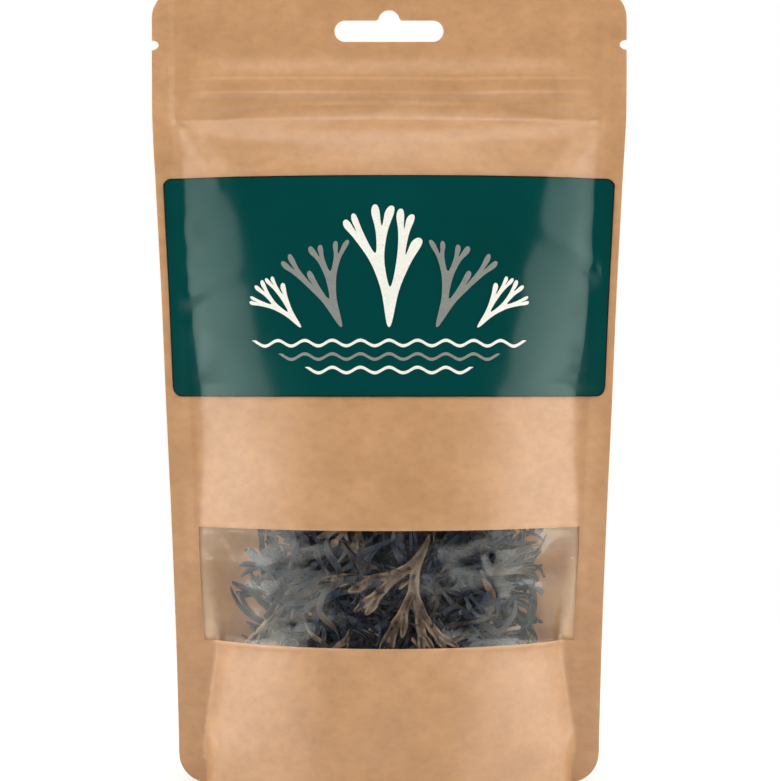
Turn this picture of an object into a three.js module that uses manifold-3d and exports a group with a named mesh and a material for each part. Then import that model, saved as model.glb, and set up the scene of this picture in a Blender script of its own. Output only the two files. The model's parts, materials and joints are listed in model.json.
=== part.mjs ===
// A stand-up pouch of dried irish moss seaweed, in millimetres.
// +Z is up, -Y is the front, and the origin is on the surface it stands on, under the middle of the pouch.
// Two kraft panels are heat-sealed along their sides, and a folded gusset spreads them at the foot.
// A press-to-close zip and a hang slot are at the head, and a clear window shows the fronds inside.

import * as THREE from "three";
import { mergeVertices } from "three/addons/utils/BufferGeometryUtils.js";
import Module from "manifold-3d";

const wasm = await Module();
wasm.setup();

// Pouch
const flatWidth = 130;
const standingHeight = 217;
const sideSeal = 6;
const cornerRadius = 8;
const wall = 0.4;
const sealGap = 0.2;
// Half the depth of the filled pouch, at a height
const bulgeStations = [
  [0, 24.8],
  [30, 23.9],
  [70, 21.4],
  [107, 18],
  [135, 15],
  [165, 9.7],
  [177, 5.6],
  [185, 1.9],
  [196, 0],
  [217, 0],
];

// Gusset: half its width from foot to fold, and its foot seal, which climbs to the fold at the sides
const gussetHalf = 35;
const gussetWall = 0.35;
const footSeal = 5;
const footSealPower = 2.5;

// Window, its film and the label
const windowBottom = 39;
const windowTop = 70;
const windowHalfWidth = 57.5;
const filmLap = 5;
const filmHalfWidth = 58.3;
const filmThickness = 0.25;
const labelBottom = 105.5;
const labelTop = 165;
const labelHalfWidth = 62.9;
const labelCorner = 2.5;
const labelThickness = 0.25;
const skinGap = 0.15;

// Zip: two strips whose profiles press together
const zipBottom = 181;
const zipTop = 192.7;
const zipMiddle = 187.1;
const zipHalfLength = 56;
const zipRoom = 1.5;
const zipFlange = 0.35;

// Hang slot and tear notches
const slotLength = 29.8;
const slotBottom = 202.5;
const slotTop = 208.4;
const slotBumpRadius = 2.9;
const slotFillet = 1;
const notchHeight = 201.7;
const notchDepth = 1.9;
const notchHalfHeight = 1.35;

// Fronds: blades in layers between the front and the back panel
const layerCount = 9;
const layerReach = 0.86;
const frondThickness = 0.9;
const wallClearance = 1.3;
const layerWave = 0.24;

const bulgeArc = flatWidth / 2 - sideSeal;
const columnsOut = [0, 8, 16, 24, 32, 40, 48, 53.5, windowHalfWidth, bulgeArc, flatWidth / 2];
const rows = [
  0, 9, 19, 29, windowBottom, 49.3, 59.7, windowTop, 81, 93, labelBottom, 117.5, 129.5,
  141.5, 153.5, labelTop, 171, 177, zipBottom, 185, zipTop, 196, standingHeight,
];

const bothSides = (out) => [...out.slice(1).map((u) => -u).reverse(), ...out];
const smooth = (t) => t * t * (3 - 2 * t);
const clamp = (t) => Math.min(1, Math.max(0, t));

// A number from 0 to 1 that looks random and depends only on n.
function draw(n) {
  const wide = Math.sin(n * 127.1 + 311.7) * 43758.5453;
  return wide - Math.floor(wide);
}

// The bulge stations joined by a smooth curve that never overshoots them.
function bulgeAt(z) {
  const last = bulgeStations.length - 1;
  const slope = (i) => {
    if (i === 0 || i === last) return 0;
    const [before, here, after] = bulgeStations.slice(i - 1, i + 2);
    const rising = (here[1] - before[1]) / (here[0] - before[0]);
    const next = (after[1] - here[1]) / (after[0] - here[0]);
    return rising * next <= 0 ? 0 : (2 * rising * next) / (rising + next);
  };
  let i = 0;
  while (i < last - 1 && z > bulgeStations[i + 1][0]) i++;
  const [[z0, s0], [z1, s1]] = bulgeStations.slice(i, i + 2);
  const t = clamp((z - z0) / (z1 - z0));
  const ease = smooth(t);
  const hermite = (t * (1 - t) ** 2 * slope(i) - t * t * (1 - t) * slope(i + 1)) * (z1 - z0);
  return s0 + (s1 - s0) * ease + hermite;
}

// Half the angle of the arc that a panel makes when its middle stands out by this much.
// The paper doesn't stretch, so the arc keeps its length and the pouch gets narrower as it fills.
function arcAngle(bulge) {
  let low = 0;
  let high = 1.5;
  for (let step = 0; step < 40; step++) {
    const angle = (low + high) / 2;
    if ((bulgeArc * (1 - Math.cos(angle))) / angle > bulge) high = angle;
    else low = angle;
  }
  return Math.max(low, 1e-3);
}

// How far the zip holds a panel off the middle, at u across the flat panel.
function zipStandOff(u, z) {
  const up = smooth(clamp((z - 176) / (zipBottom - 176))) * smooth(clamp((196 - z) / (196 - zipTop)));
  const across = smooth(clamp((bulgeArc - Math.abs(u)) / (bulgeArc - windowHalfWidth)));
  return zipRoom * up * across;
}

// A point of the front panel's inner face: u across the flat sheet, z up.
function innerPoint(u, z) {
  const angle = arcAngle(bulgeAt(z));
  const radius = bulgeArc / angle;
  const turn = (angle * Math.min(Math.abs(u), bulgeArc)) / bulgeArc;
  const past = Math.max(0, Math.abs(u) - bulgeArc);
  const depth = Math.max(radius * (Math.cos(turn) - Math.cos(angle)), zipStandOff(u, z));
  return new THREE.Vector3(Math.sign(u) * (radius * Math.sin(turn) + past), -sealGap / 2 - depth, z);
}

// The same point moved along the sheet's normal, outwards where lift is positive.
function panelPoint(u, z, lift) {
  const nearU = 0.5;
  const across = innerPoint(u + nearU, z).sub(innerPoint(u - nearU, z));
  const up = innerPoint(u, Math.min(z + nearU, standingHeight)).sub(innerPoint(u, Math.max(z - nearU, 0)));
  const normal = across.cross(up).normalize();
  const point = innerPoint(u, z).addScaledVector(normal, lift);
  point.z = z;
  return point;
}

// Joins two alike lists of points, one for each face of a thin sheet, into one closed body.
// The triangles turn anticlockwise seen from -Y, where the first list's face is.
function thinBody(near, far, triangles) {
  const index = [];
  const edges = new Map();
  for (const [a, b, c] of triangles) {
    index.push(a, b, c, a + near.length, c + near.length, b + near.length);
    for (const [p, q] of [[a, b], [b, c], [c, a]]) {
      if (!edges.delete(q + "," + p)) edges.set(p + "," + q, [p, q]);
    }
  }
  for (const [p, q] of edges.values()) {
    index.push(q, p, p + near.length, q, p + near.length, q + near.length);
  }
  const geometry = new THREE.BufferGeometry().setFromPoints([...near, ...far]);
  geometry.setIndex(index);
  return geometry;
}

// The triangles of a grid of points, without the cells that skip says are open.
function gridTriangles(rowCount, columnCount, skip = () => false) {
  const triangles = [];
  for (let i = 0; i < rowCount - 1; i++) {
    for (let j = 0; j < columnCount - 1; j++) {
      if (skip(i, j)) continue;
      const a = i * columnCount + j;
      const d = a + columnCount;
      triangles.push([a, a + 1, d + 1], [a, d + 1, d]);
    }
  }
  return triangles;
}

// A sheet on the front panel, between two lifts off the panel's inner face.
function sheetOnPanel(us, zs, lowLift, highLift, skip) {
  const face = (lift) => zs.flatMap((z) => us.map((u) => panelPoint(u, z, lift)));
  return thinBody(face(highLift), face(lowLift), gridTriangles(zs.length, us.length, skip));
}

function toSolid(geometry) {
  const bare = new THREE.BufferGeometry();
  bare.setAttribute("position", geometry.getAttribute("position"));
  bare.setIndex(geometry.index);
  const merged = mergeVertices(bare, 1e-4);
  const mesh = new wasm.Mesh({
    numProp: 3,
    vertProperties: new Float32Array(merged.attributes.position.array),
    triVerts: new Uint32Array(merged.index.array),
  });
  return new wasm.Manifold(mesh);
}

function toGeometry(solid) {
  const mesh = solid.getMesh();
  const geometry = new THREE.BufferGeometry();
  geometry.setAttribute("position", new THREE.BufferAttribute(mesh.vertProperties, 3));
  geometry.setIndex(new THREE.BufferAttribute(mesh.triVerts, 1));
  return geometry;
}

// A cutter through both panels: an outline in X and Z, with a depth along Y.
function cutter(outline, depth = 12) {
  const geometry = new THREE.ExtrudeGeometry(outline, {
    depth,
    bevelEnabled: false,
    curveSegments: 7,
  });
  geometry.rotateX(Math.PI / 2).translate(0, depth / 2, 0);
  return toSolid(geometry);
}

// What rounding takes off a corner whose point is at x, z.
function cornerOffcut(x, z, radius, upwards) {
  const side = Math.sign(x);
  const up = upwards ? 1 : -1;
  const over = 1;
  const centre = [x - side * radius, z - up * radius];
  const outline = new THREE.Shape();
  outline.moveTo(x + side * over, centre[1]);
  outline.lineTo(x + side * over, z + up * over);
  outline.lineTo(centre[0], z + up * over);
  outline.lineTo(centre[0], z);
  const from = (up * Math.PI) / 2;
  const to = side > 0 ? 0 : Math.PI * up;
  outline.absarc(centre[0], centre[1], radius, from, to, side * up > 0);
  outline.closePath();
  return cutter(outline);
}

// The hang slot: a bar with round ends and a round bump in the middle of its top edge.
function hangSlot() {
  const endRadius = (slotTop - slotBottom) / 2;
  const middle = (slotTop + slotBottom) / 2;
  const endX = slotLength / 2 - endRadius;
  const bumpZ = slotTop - 0.1;
  const filletZ = slotTop + slotFillet;
  const reach = slotBumpRadius + slotFillet;
  const filletX = Math.sqrt(reach ** 2 - (filletZ - bumpZ) ** 2);
  const lean = Math.atan2(filletZ - bumpZ, filletX);
  const quarter = Math.PI / 2;
  const outline = new THREE.Shape();
  outline.moveTo(-endX, slotBottom);
  outline.lineTo(endX, slotBottom);
  outline.absarc(endX, middle, endRadius, -quarter, quarter, false);
  outline.lineTo(filletX, slotTop);
  outline.absarc(filletX, filletZ, slotFillet, -quarter, -Math.PI + lean, true);
  outline.absarc(0, bumpZ, slotBumpRadius, lean, Math.PI - lean, false);
  outline.absarc(-filletX, filletZ, slotFillet, -lean, -quarter, true);
  outline.lineTo(-endX, slotTop);
  outline.absarc(-endX, middle, endRadius, quarter, 3 * quarter, false);
  return cutter(outline);
}

function tearNotch(side) {
  const outline = new THREE.Shape();
  outline.absellipse((side * flatWidth) / 2, notchHeight, notchDepth, notchHalfHeight, 0, 2 * Math.PI);
  return cutter(outline);
}

// Everything that is cut through both panels once they are sealed.
function panelCuts() {
  const footHalfWidth = innerPoint(flatWidth / 2, 0).x;
  const cuts = [hangSlot(), tearNotch(-1), tearNotch(1)];
  for (const side of [-1, 1]) {
    cuts.push(cornerOffcut((side * flatWidth) / 2, standingHeight, cornerRadius, true));
    cuts.push(cornerOffcut(side * footHalfWidth, 0, cornerRadius, false));
  }
  return cuts;
}

function cutAll(geometry, cuts) {
  return toGeometry(cuts.reduce((solid, cut) => solid.subtract(cut), toSolid(geometry)));
}

// Turns a front piece into its mirror image at the back.
function mirroredToBack(geometry) {
  const mirrored = geometry.clone().scale(1, -1, 1);
  const turned = Array.from(mirrored.index.array);
  for (let i = 0; i < turned.length; i += 3) {
    [turned[i + 1], turned[i + 2]] = [turned[i + 2], turned[i + 1]];
  }
  mirrored.setIndex(turned);
  return mirrored;
}

// Panels
const panelColumns = bothSides(columnsOut);
const wholePanel = sheetOnPanel(panelColumns, rows, 0, wall);
const isWindow = (i, j) => {
  const cellMiddle = (panelColumns[j] + panelColumns[j + 1]) / 2;
  return rows[i] >= windowBottom && rows[i] < windowTop && Math.abs(cellMiddle) < windowHalfWidth;
};
const openPanel = sheetOnPanel(panelColumns, rows, 0, wall, isWindow);
const cuts = panelCuts();
const frontPanel = cutAll(openPanel, cuts);
const backPanel = cutAll(mirroredToBack(wholePanel), cuts);

// Window film, lapped onto the paper's inner face
const filmColumns = bothSides([...columnsOut.slice(0, -2), filmHalfWidth]);
const filmRows = [windowBottom - filmLap, windowBottom, 49.3, 59.7, windowTop, windowTop + filmLap];
const windowFilm = sheetOnPanel(filmColumns, filmRows, -skinGap - filmThickness, -skinGap);

// Label
function frontLabel() {
  const us = bothSides([...columnsOut.slice(0, -1), labelHalfWidth]);
  const zs = rows.filter((z) => z >= labelBottom && z <= labelTop);
  const plain = sheetOnPanel(us, zs, wall + skinGap, wall + skinGap + labelThickness);
  const lowHalf = panelPoint(labelHalfWidth, labelBottom, wall).x;
  const highHalf = panelPoint(labelHalfWidth, labelTop, wall).x;
  const corners = [-1, 1].flatMap((side) => [
    cornerOffcut(side * highHalf, labelTop, labelCorner, true),
    cornerOffcut(side * lowHalf, labelBottom, labelCorner, false),
  ]);
  return cutAll(plain, corners);
}

// How high the foot seal reaches on a panel, at u across the flat sheet.
const footSealTop = (u) => footSeal + (gussetHalf - footSeal) * (Math.abs(u) / bulgeArc) ** footSealPower;

// Gusset: up each panel's inner face along the foot seal, then over a fold between the panels
function gussetRidge(u) {
  const top = footSealTop(u);
  const reach = -panelPoint(u, top, -skinGap).y;
  return top + Math.sqrt(Math.max((gussetHalf - top) ** 2 - reach ** 2, 0));
}

function bottomGusset() {
  const us = bothSides(columnsOut.slice(0, 9));
  const upShares = [0.02, 0.5, 1];
  const overShares = [0.33, 0.67];
  const section = (u, lift) => {
    const top = footSealTop(u);
    const ridge = gussetRidge(u);
    const slope = Math.atan2(ridge - top, -panelPoint(u, top, -skinGap).y);
    const mitre = lift * Math.tan((Math.PI / 2 - slope) / 2);
    const heights = upShares.map((share) => Math.max(0.3, top * share));
    heights[heights.length - 1] -= mitre;
    const seal = heights.map((height) => panelPoint(u, height, -skinGap - lift));
    const edge = seal[seal.length - 1];
    const fold = new THREE.Vector3(edge.x, 0, ridge + (gussetWall / 2 - lift) / Math.cos(slope));
    const over = overShares.map((share) => edge.clone().lerp(fold, share));
    const half = [...seal, ...over];
    const back = half.map((point) => new THREE.Vector3(point.x, -point.y, point.z)).reverse();
    return [...half, fold, ...back];
  };
  const columnsOfPoints = (lift) => us.map((u) => section(u, lift));
  const count = 2 * (upShares.length + overShares.length) + 1;
  const face = (lift) => {
    const columns = columnsOfPoints(lift);
    return Array.from({ length: count }, (_, i) => columns.map((column) => column[i])).flat();
  };
  return thinBody(face(0), face(gussetWall), gridTriangles(count, us.length));
}

// Zip strips: an outline in Y and Z run along X
function zipStrip(points) {
  const outline = new THREE.Shape(points.map(([y, z]) => new THREE.Vector2(y, z)));
  const geometry = new THREE.ExtrudeGeometry(outline, { depth: 2 * zipHalfLength, bevelEnabled: false });
  geometry.applyMatrix4(new THREE.Matrix4().set(0, 0, 1, -zipHalfLength, 1, 0, 0, 0, 0, 1, 0, 0, 0, 0, 0, 1));
  return geometry;
}

const flangeOut = zipRoom - 0.1;
const flangeIn = flangeOut - zipFlange;

// Two lips with hooks, on the front panel's side
function zipGroove() {
  const grooveHalf = 0.85;
  const lipThickness = 0.6;
  const hook = 0.3;
  const lipEnd = 0.45;
  const lip = (side) => [
    [-flangeIn, zipMiddle + side * (grooveHalf + lipThickness)],
    [lipEnd, zipMiddle + side * (grooveHalf + lipThickness)],
    [lipEnd, zipMiddle + side * (grooveHalf - hook)],
    [lipEnd - 0.35, zipMiddle + side * (grooveHalf - hook)],
    [lipEnd - 0.35, zipMiddle + side * grooveHalf],
    [-flangeIn, zipMiddle + side * grooveHalf],
  ];
  return zipStrip([
    [-flangeOut, zipBottom],
    [-flangeIn, zipBottom],
    ...lip(-1),
    ...lip(1).reverse(),
    [-flangeIn, zipTop],
    [-flangeOut, zipTop],
  ]);
}

// One rib with a wider head, on the back panel's side
function zipRib() {
  const stemHalf = 0.3;
  const headHalf = 0.58;
  const headIn = -0.65;
  const headOut = -0.15;
  return zipStrip([
    [flangeOut, zipTop],
    [flangeIn, zipTop],
    [flangeIn, zipMiddle + stemHalf],
    [headOut, zipMiddle + stemHalf],
    [headOut, zipMiddle + headHalf],
    [headIn, zipMiddle + stemHalf],
    [headIn, zipMiddle - stemHalf],
    [headOut, zipMiddle - headHalf],
    [headOut, zipMiddle - stemHalf],
    [flangeIn, zipMiddle - stemHalf],
    [flangeIn, zipBottom],
    [flangeOut, zipBottom],
  ]);
}

// One frond, flat: a stalk that forks again and again, each segment a wedge that widens to its fork.
// It grows along +b, and a frond of few forks starts from a later level.
function growFrond(seed, firstLevel) {
  const points = [];
  const triangles = [];
  const lengths = [8, 9, 8, 7, 6.4];
  const forkAngles = [27, 18, 12.5, 10];
  const endWidths = [3.1, 3.4, 3.2, 2.8, 2.1];
  const lastLevel = 4;
  const vary = (n, share) => 1 + share * (2 * draw(seed * 37.3 + n) - 1);
  let drawn = 0;
  const add = (a, b) => points.push([a, b]) - 1;

  function segment(left, right, angle, level) {
    const [la, lb] = points[left];
    const [ra, rb] = points[right];
    const turned = angle + 7 * (vary(drawn++, 1) - 1);
    const heading = THREE.MathUtils.degToRad(turned);
    const along = [-Math.sin(heading), Math.cos(heading)];
    const across = [along[1], -along[0]];
    const length = lengths[level] * vary(drawn++, 0.22);
    const half = (endWidths[level] / 2) * vary(drawn++, 0.18);
    const isTip = level === lastLevel || (level === lastLevel - 1 && draw(seed * 11.9 + drawn++) < 0.25);
    const centre = [(la + ra) / 2 + along[0] * length, (lb + rb) / 2 + along[1] * length];
    const place = (out, on) =>
      add(centre[0] + across[0] * out + along[0] * on, centre[1] + across[1] * out + along[1] * on);
    if (isTip) {
      const newLeft = place(-half, -0.38 * length);
      const newRight = place(half, -0.38 * length);
      const point = place(0.3 * half, 0);
      triangles.push([left, right, newRight], [left, newRight, newLeft], [newLeft, newRight, point]);
      return;
    }
    const newLeft = place(-half, 0);
    const newRight = place(half, 0);
    const crotch = place(0, 0.3 * half);
    triangles.push([left, right, crotch], [right, newRight, crotch], [crotch, newLeft, left]);
    const spread = forkAngles[level] * vary(drawn++, 0.12);
    segment(newLeft, crotch, turned + spread, level + 1);
    segment(crotch, newRight, turned - spread, level + 1);
  }

  segment(add(-0.7, 0), add(0.7, 0), 0, firstLevel);
  return { points, triangles };
}

// Whether two branches of a flat frond come closer to each other than the gap.
function branchesMeet({ points, triangles }, gap) {
  const edges = new Map();
  for (const [a, b, c] of triangles) {
    for (const [p, q] of [[a, b], [b, c], [c, a]]) {
      if (!edges.delete(q + "," + p)) edges.set(p + "," + q, [p, q]);
    }
  }
  const rim = [...edges.values()];
  return points.some(([a, b], n) =>
    rim.some(([p, q]) => {
      const isNear = rim.some((edge) => edge.includes(n) && (edge.includes(p) || edge.includes(q)));
      if (isNear) return false;
      const from = points[p];
      const run = [points[q][0] - from[0], points[q][1] - from[1]];
      const t = clamp(((a - from[0]) * run[0] + (b - from[1]) * run[1]) / (run[0] ** 2 + run[1] ** 2));
      return Math.hypot(a - from[0] - t * run[0], b - from[1] - t * run[1]) < gap;
    }),
  );
}

// The room inside the pouch, from the middle to either panel
function halfRoom(x, z) {
  const angle = arcAngle(bulgeAt(z));
  const radius = bulgeArc / angle;
  const depth = Math.sqrt(Math.max(radius ** 2 - x ** 2, 0)) - radius * Math.cos(angle);
  return Math.max(depth - wallClearance, 0);
}

// Depth in the pouch of a layer at x, z. Layer -1 would lie on the front panel and 1 on the back.
// All layers share one wave that dies out at the panels, so no two of them meet.
function layerDepth(layer, x, z) {
  const room = halfRoom(x, z);
  const calm = smooth(clamp((room - 4) / 12));
  const wave =
    0.55 * Math.sin((2 * Math.PI * (0.9 * x + 0.45 * z)) / 58 + 0.6) +
    0.45 * Math.sin((2 * Math.PI * (0.95 * z - 0.35 * x)) / 47 + 2.1);
  return room * (layer + (1 - layer ** 2) * layerWave * calm * wave);
}

// The circles that the fronds of a layer fill: x, z, radius.
// The layers take the two sets in turn, and circles of one set never touch.
const pairedPlaces = [
  [-22.4, 50, 21.6],
  [22.2, 50.5, 21.6],
  [0, 92, 23.5],
];
const centredPlaces = [
  [0, 50.5, 22],
  [-33, 60, 10.6],
  [33, 59, 10.6],
  [-20.8, 93, 19.8],
  [20.6, 93.5, 19.8],
];
const smallRadius = 14;
const placesOf = (layerIndex) => (layerIndex % 2 ? pairedPlaces : centredPlaces);

// The large frond behind the middle of the window grows down and to the left.
const frontHeading = THREE.MathUtils.degToRad(150);

function makeFrond(layerIndex, place, serial) {
  const layer = layerReach * ((2 * layerIndex) / (layerCount - 1) - 1);
  const [x, z, radius] = place;
  const firstLevel = radius < smallRadius ? 2 : 0;
  let seed = serial;
  let frond = growFrond(seed, firstLevel);
  while (branchesMeet(frond, 0.5)) {
    seed += 100;
    frond = growFrond(seed, firstLevel);
  }
  const heading = serial === 1 ? frontHeading : 2 * Math.PI * draw(serial * 3.7 + 5);
  const box = new THREE.Box2().setFromPoints(frond.points.map(([a, b]) => new THREE.Vector2(a, b)));
  const middle = box.getCenter(new THREE.Vector2());
  const reach = Math.max(...frond.points.map(([a, b]) => middle.distanceTo(new THREE.Vector2(a, b))));
  const size = radius / reach;
  const placed = frond.points.map(([a, b]) => {
    const along = (b - middle.y) * size;
    const across = (a - middle.x) * size;
    return [
      x + across * Math.cos(heading) - along * Math.sin(heading),
      z + across * Math.sin(heading) + along * Math.cos(heading),
    ];
  });
  const face = (lift) =>
    placed.map(([px, pz]) => new THREE.Vector3(px, layerDepth(layer, px, pz) + lift, pz));
  return thinBody(face(-frondThickness / 2), face(frondThickness / 2), frond.triangles);
}

// Materials
const kraft = new THREE.MeshStandardMaterial({ color: 0xc69b70, roughness: 0.72, metalness: 0 });
const filmClear = new THREE.MeshStandardMaterial({
  color: 0xe6ecea,
  roughness: 0.1,
  metalness: 0,
  transparent: true,
  opacity: 0.2,
});
const labelGreen = new THREE.MeshStandardMaterial({ color: 0x00443f, roughness: 0.28, metalness: 0 });
const zipClear = new THREE.MeshStandardMaterial({ color: 0xd9dcd8, roughness: 0.4, metalness: 0 });
const frondFinishes = [0x1b2328, 0x8a7052, 0x26292c, 0x4a4038, 0x1f272b].map(
  (color) => new THREE.MeshStandardMaterial({ color, roughness: 0.5, metalness: 0 }),
);

const pouch = new THREE.Group();
function addPiece(name, geometry, material) {
  geometry.computeVertexNormals();
  const mesh = new THREE.Mesh(geometry, material);
  mesh.name = name;
  pouch.add(mesh);
}

addPiece("front_panel", frontPanel, kraft);
addPiece("back_panel", backPanel, kraft);
addPiece("bottom_gusset", bottomGusset(), kraft);
addPiece("window_film", windowFilm, filmClear);
addPiece("front_label", frontLabel(), labelGreen);
addPiece("zip_groove_strip", zipGroove(), zipClear);
addPiece("zip_rib_strip", zipRib(), zipClear);

let serial = 0;
for (let layerIndex = 0; layerIndex < layerCount; layerIndex++) {
  for (const place of placesOf(layerIndex)) {
    serial++;
    const name = "frond_" + String(serial).padStart(2, "0");
    addPiece(name, makeFrond(layerIndex, place, serial), frondFinishes[serial % frondFinishes.length]);
  }
}

export default pouch;
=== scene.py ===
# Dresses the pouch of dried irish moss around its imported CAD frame.
# Shapes are worked out in millimetres, as on the pouch's drawing, and become metres in the meshes.

import json
import math
import random

import bmesh
import bpy
import numpy as np
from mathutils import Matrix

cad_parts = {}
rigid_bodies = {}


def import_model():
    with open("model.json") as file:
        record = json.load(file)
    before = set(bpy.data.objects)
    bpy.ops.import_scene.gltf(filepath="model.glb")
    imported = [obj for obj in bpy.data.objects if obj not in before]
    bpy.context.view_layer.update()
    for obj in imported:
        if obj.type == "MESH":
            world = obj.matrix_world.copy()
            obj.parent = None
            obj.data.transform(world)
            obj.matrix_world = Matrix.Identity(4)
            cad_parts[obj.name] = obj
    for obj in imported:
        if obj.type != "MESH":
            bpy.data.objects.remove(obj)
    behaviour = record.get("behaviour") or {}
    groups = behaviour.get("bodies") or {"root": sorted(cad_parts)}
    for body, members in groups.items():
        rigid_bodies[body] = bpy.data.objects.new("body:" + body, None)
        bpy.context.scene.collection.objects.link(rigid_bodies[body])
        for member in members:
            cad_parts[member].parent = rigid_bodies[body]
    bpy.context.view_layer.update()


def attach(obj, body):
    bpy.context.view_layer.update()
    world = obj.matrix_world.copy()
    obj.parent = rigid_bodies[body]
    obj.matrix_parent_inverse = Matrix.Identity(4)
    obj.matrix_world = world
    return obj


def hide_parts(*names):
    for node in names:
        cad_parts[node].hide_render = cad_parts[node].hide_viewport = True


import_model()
bpy.ops.object.select_all(action="DESELECT")

mm = 0.001
front, back = -1, 1

pouch = {
    "flatHalf": 65.0,  # half the flat width
    "height": 217.0,
    "arcHalf": 59.0,  # from the middle to the side seal
    "corner": 8.0,
    "wall": 0.4,
    "gap": 0.2,  # between the two panels in a seal
    "welded": 0.09,  # how far the dressed panels are thickened into it
    "skinGap": 0.15,
    # half the depth of the filled pouch, at a height
    "bulge": (
        (0, 24.8), (30, 23.9), (70, 21.4), (107, 18.0), (135, 15.0),
        (165, 9.7), (177, 5.6), (185, 1.9), (196, 0.0), (217, 0.0),
    ),
    # how much wider than its seal the flat band at each side is, at a height
    "tuck": (
        (0, 0.3), (10, 0.9), (25, 3.2), (35, 4.7), (41, 4.7), (52, 2.6), (60, 1.5),
        (75, 2.2), (88, 3.6), (108, 4.2), (122, 2.2), (145, 0.4), (165, 0),
    ),
    # how softly the panel bends into it
    "bendIn": (
        (0, 0.6), (33, 1.2), (40, 1.2), (88, 3.6), (108, 3.8),
        (130, 2.8), (150, 2.2), (165, 1.6), (177, 0.5),
    ),
    "zipRoom": 1.5,
    "zipRise": (176.0, 181.0),
    "zipFall": (192.7, 199.5),
    "zipEnd": (43.0, 59.2),
    # where the panels close: at the rim, and in the corners of the foot below a height
    "rimClosed": (59.5, 63.5),
    "footClosed": (53.0, 57.2),
    "footClosedBelow": (4.5, 11.0),
}
window = {"half": 57.5, "bottom": 39.0, "top": 70.0}


# Shape of the pouch


def smooth(t):
    t = np.clip(t, 0.0, 1.0)
    return t * t * (3 - 2 * t)


def ramp(value, start, end):
    return smooth((value - start) / (end - start))


def bell(d):
    return np.exp(-d * d)


def cornerHeight(a, b, seed):
    # a number from -1 to 1 for each corner of a grid
    wide = np.sin(a * 127.1 + b * 311.7 + seed * 74.7) * 43758.5453
    return 2 * (wide - np.floor(wide)) - 1


def softNoise(x, y, size, seed):
    # soft heights from -1 to 1, one blob about every `size`
    gx, gy = np.asarray(x, float) / size, np.asarray(y, float) / size
    ix, iy = np.floor(gx), np.floor(gy)
    fx, fy = gx - ix, gy - iy
    fx, fy = smooth(fx), smooth(fy)
    low = cornerHeight(ix, iy, seed) * (1 - fx) + cornerHeight(ix + 1, iy, seed) * fx
    high = cornerHeight(ix, iy + 1, seed) * (1 - fx) + cornerHeight(ix + 1, iy + 1, seed) * fx
    return low * (1 - fy) + high * fy


def bulgeCurve(z):
    # the stations joined by a smooth curve that never overshoots them
    stations = pouch["bulge"]
    slopes = [0.0] * len(stations)
    for i in range(1, len(stations) - 1):
        (z0, s0), (z1, s1), (z2, s2) = stations[i - 1 : i + 2]
        rising, following = (s1 - s0) / (z1 - z0), (s2 - s1) / (z2 - z1)
        if rising * following > 0:
            slopes[i] = 2 * rising * following / (rising + following)
    i = 0
    while i < len(stations) - 2 and z > stations[i + 1][0]:
        i += 1
    (z0, s0), (z1, s1) = stations[i], stations[i + 1]
    t = min(1.0, max(0.0, (z - z0) / (z1 - z0)))
    ease = t * t * (3 - 2 * t)
    bend = (t * (1 - t) ** 2 * slopes[i] - t * t * (1 - t) * slopes[i + 1]) * (z1 - z0)
    return s0 + (s1 - s0) * ease + bend


# the pouch's curves are worked out once, every eighth of a millimetre
heights = np.linspace(0, pouch["height"], 8 * round(pouch["height"]) + 1)
bulges = np.array([bulgeCurve(z) for z in heights])


def arcAngles(arcHalf):
    # half the angle of the arc whose middle stands out by the bulge, at each height
    low, high = np.full_like(bulges, 1e-3), np.full_like(bulges, 1.5)
    for _ in range(40):
        angle = (low + high) / 2
        tooFar = arcHalf * (1 - np.cos(angle)) / angle > bulges
        high, low = np.where(tooFar, angle, high), np.where(tooFar, low, angle)
    return (low + high) / 2


tuckZ, tuckWidth = zip(*pouch["tuck"])
edges = pouch["arcHalf"] - np.interp(heights, tuckZ, tuckWidth)
angles = arcAngles(edges)
bendZ, bendWidth = zip(*pouch["bendIn"])
# the bands don't make the pouch narrower
plainAngles = arcAngles(np.full_like(heights, pouch["arcHalf"]))
plainReach = pouch["arcHalf"] * np.sin(plainAngles) / plainAngles
widenings = plainReach + edges * (1 - np.sin(angles) / angles) - pouch["arcHalf"]


def zipRoom(u, z):
    room = pouch["zipRoom"] * ramp(z, *pouch["zipRise"]) * (1 - ramp(z, *pouch["zipFall"]))
    return room * (1 - ramp(np.abs(u), *pouch["zipEnd"]))


def innerPoints(u, z):
    # points of the front panel's inner face: u across the flat sheet, z up
    edge, angle = np.interp(z, heights, edges), np.interp(z, heights, angles)
    out = np.abs(u)
    radius = edge / angle
    turn = angle * np.minimum(out, edge) / edge
    past = np.maximum(0, out - edge)
    arc = radius * (np.cos(turn) - np.cos(angle)) - np.sin(angle) * past
    soft = np.sin(angle) * np.interp(z, bendZ, bendWidth)
    depth = np.maximum((arc + np.hypot(arc, soft)) / 2, zipRoom(u, z))
    depth *= 1 - ramp(out, *pouch["rimClosed"])
    depth *= 1 - ramp(out, *pouch["footClosed"]) * (1 - ramp(z, *pouch["footClosedBelow"]))
    widening = np.interp(z, heights, widenings) * (out / pouch["flatHalf"]) ** 4
    x = radius * np.sin(turn) + past + widening
    return np.stack([np.sign(u) * x, -pouch["gap"] / 2 - depth, z], axis=-1)


def panelPoints(u, z, lift):
    # the same points moved out along the sheet's normal
    u, z = np.asarray(u, float), np.asarray(z, float)
    across = innerPoints(u + 0.5, z) - innerPoints(u - 0.5, z)
    up = innerPoints(u, np.minimum(z + 0.5, pouch["height"])) - innerPoints(u, np.maximum(z - 0.5, 0))
    normal = np.cross(across, up)
    normal /= np.linalg.norm(normal, axis=-1, keepdims=True)
    points = innerPoints(u, z) + normal * np.asarray(lift, float)[..., None]
    points[..., 2] = z
    return points


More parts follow.
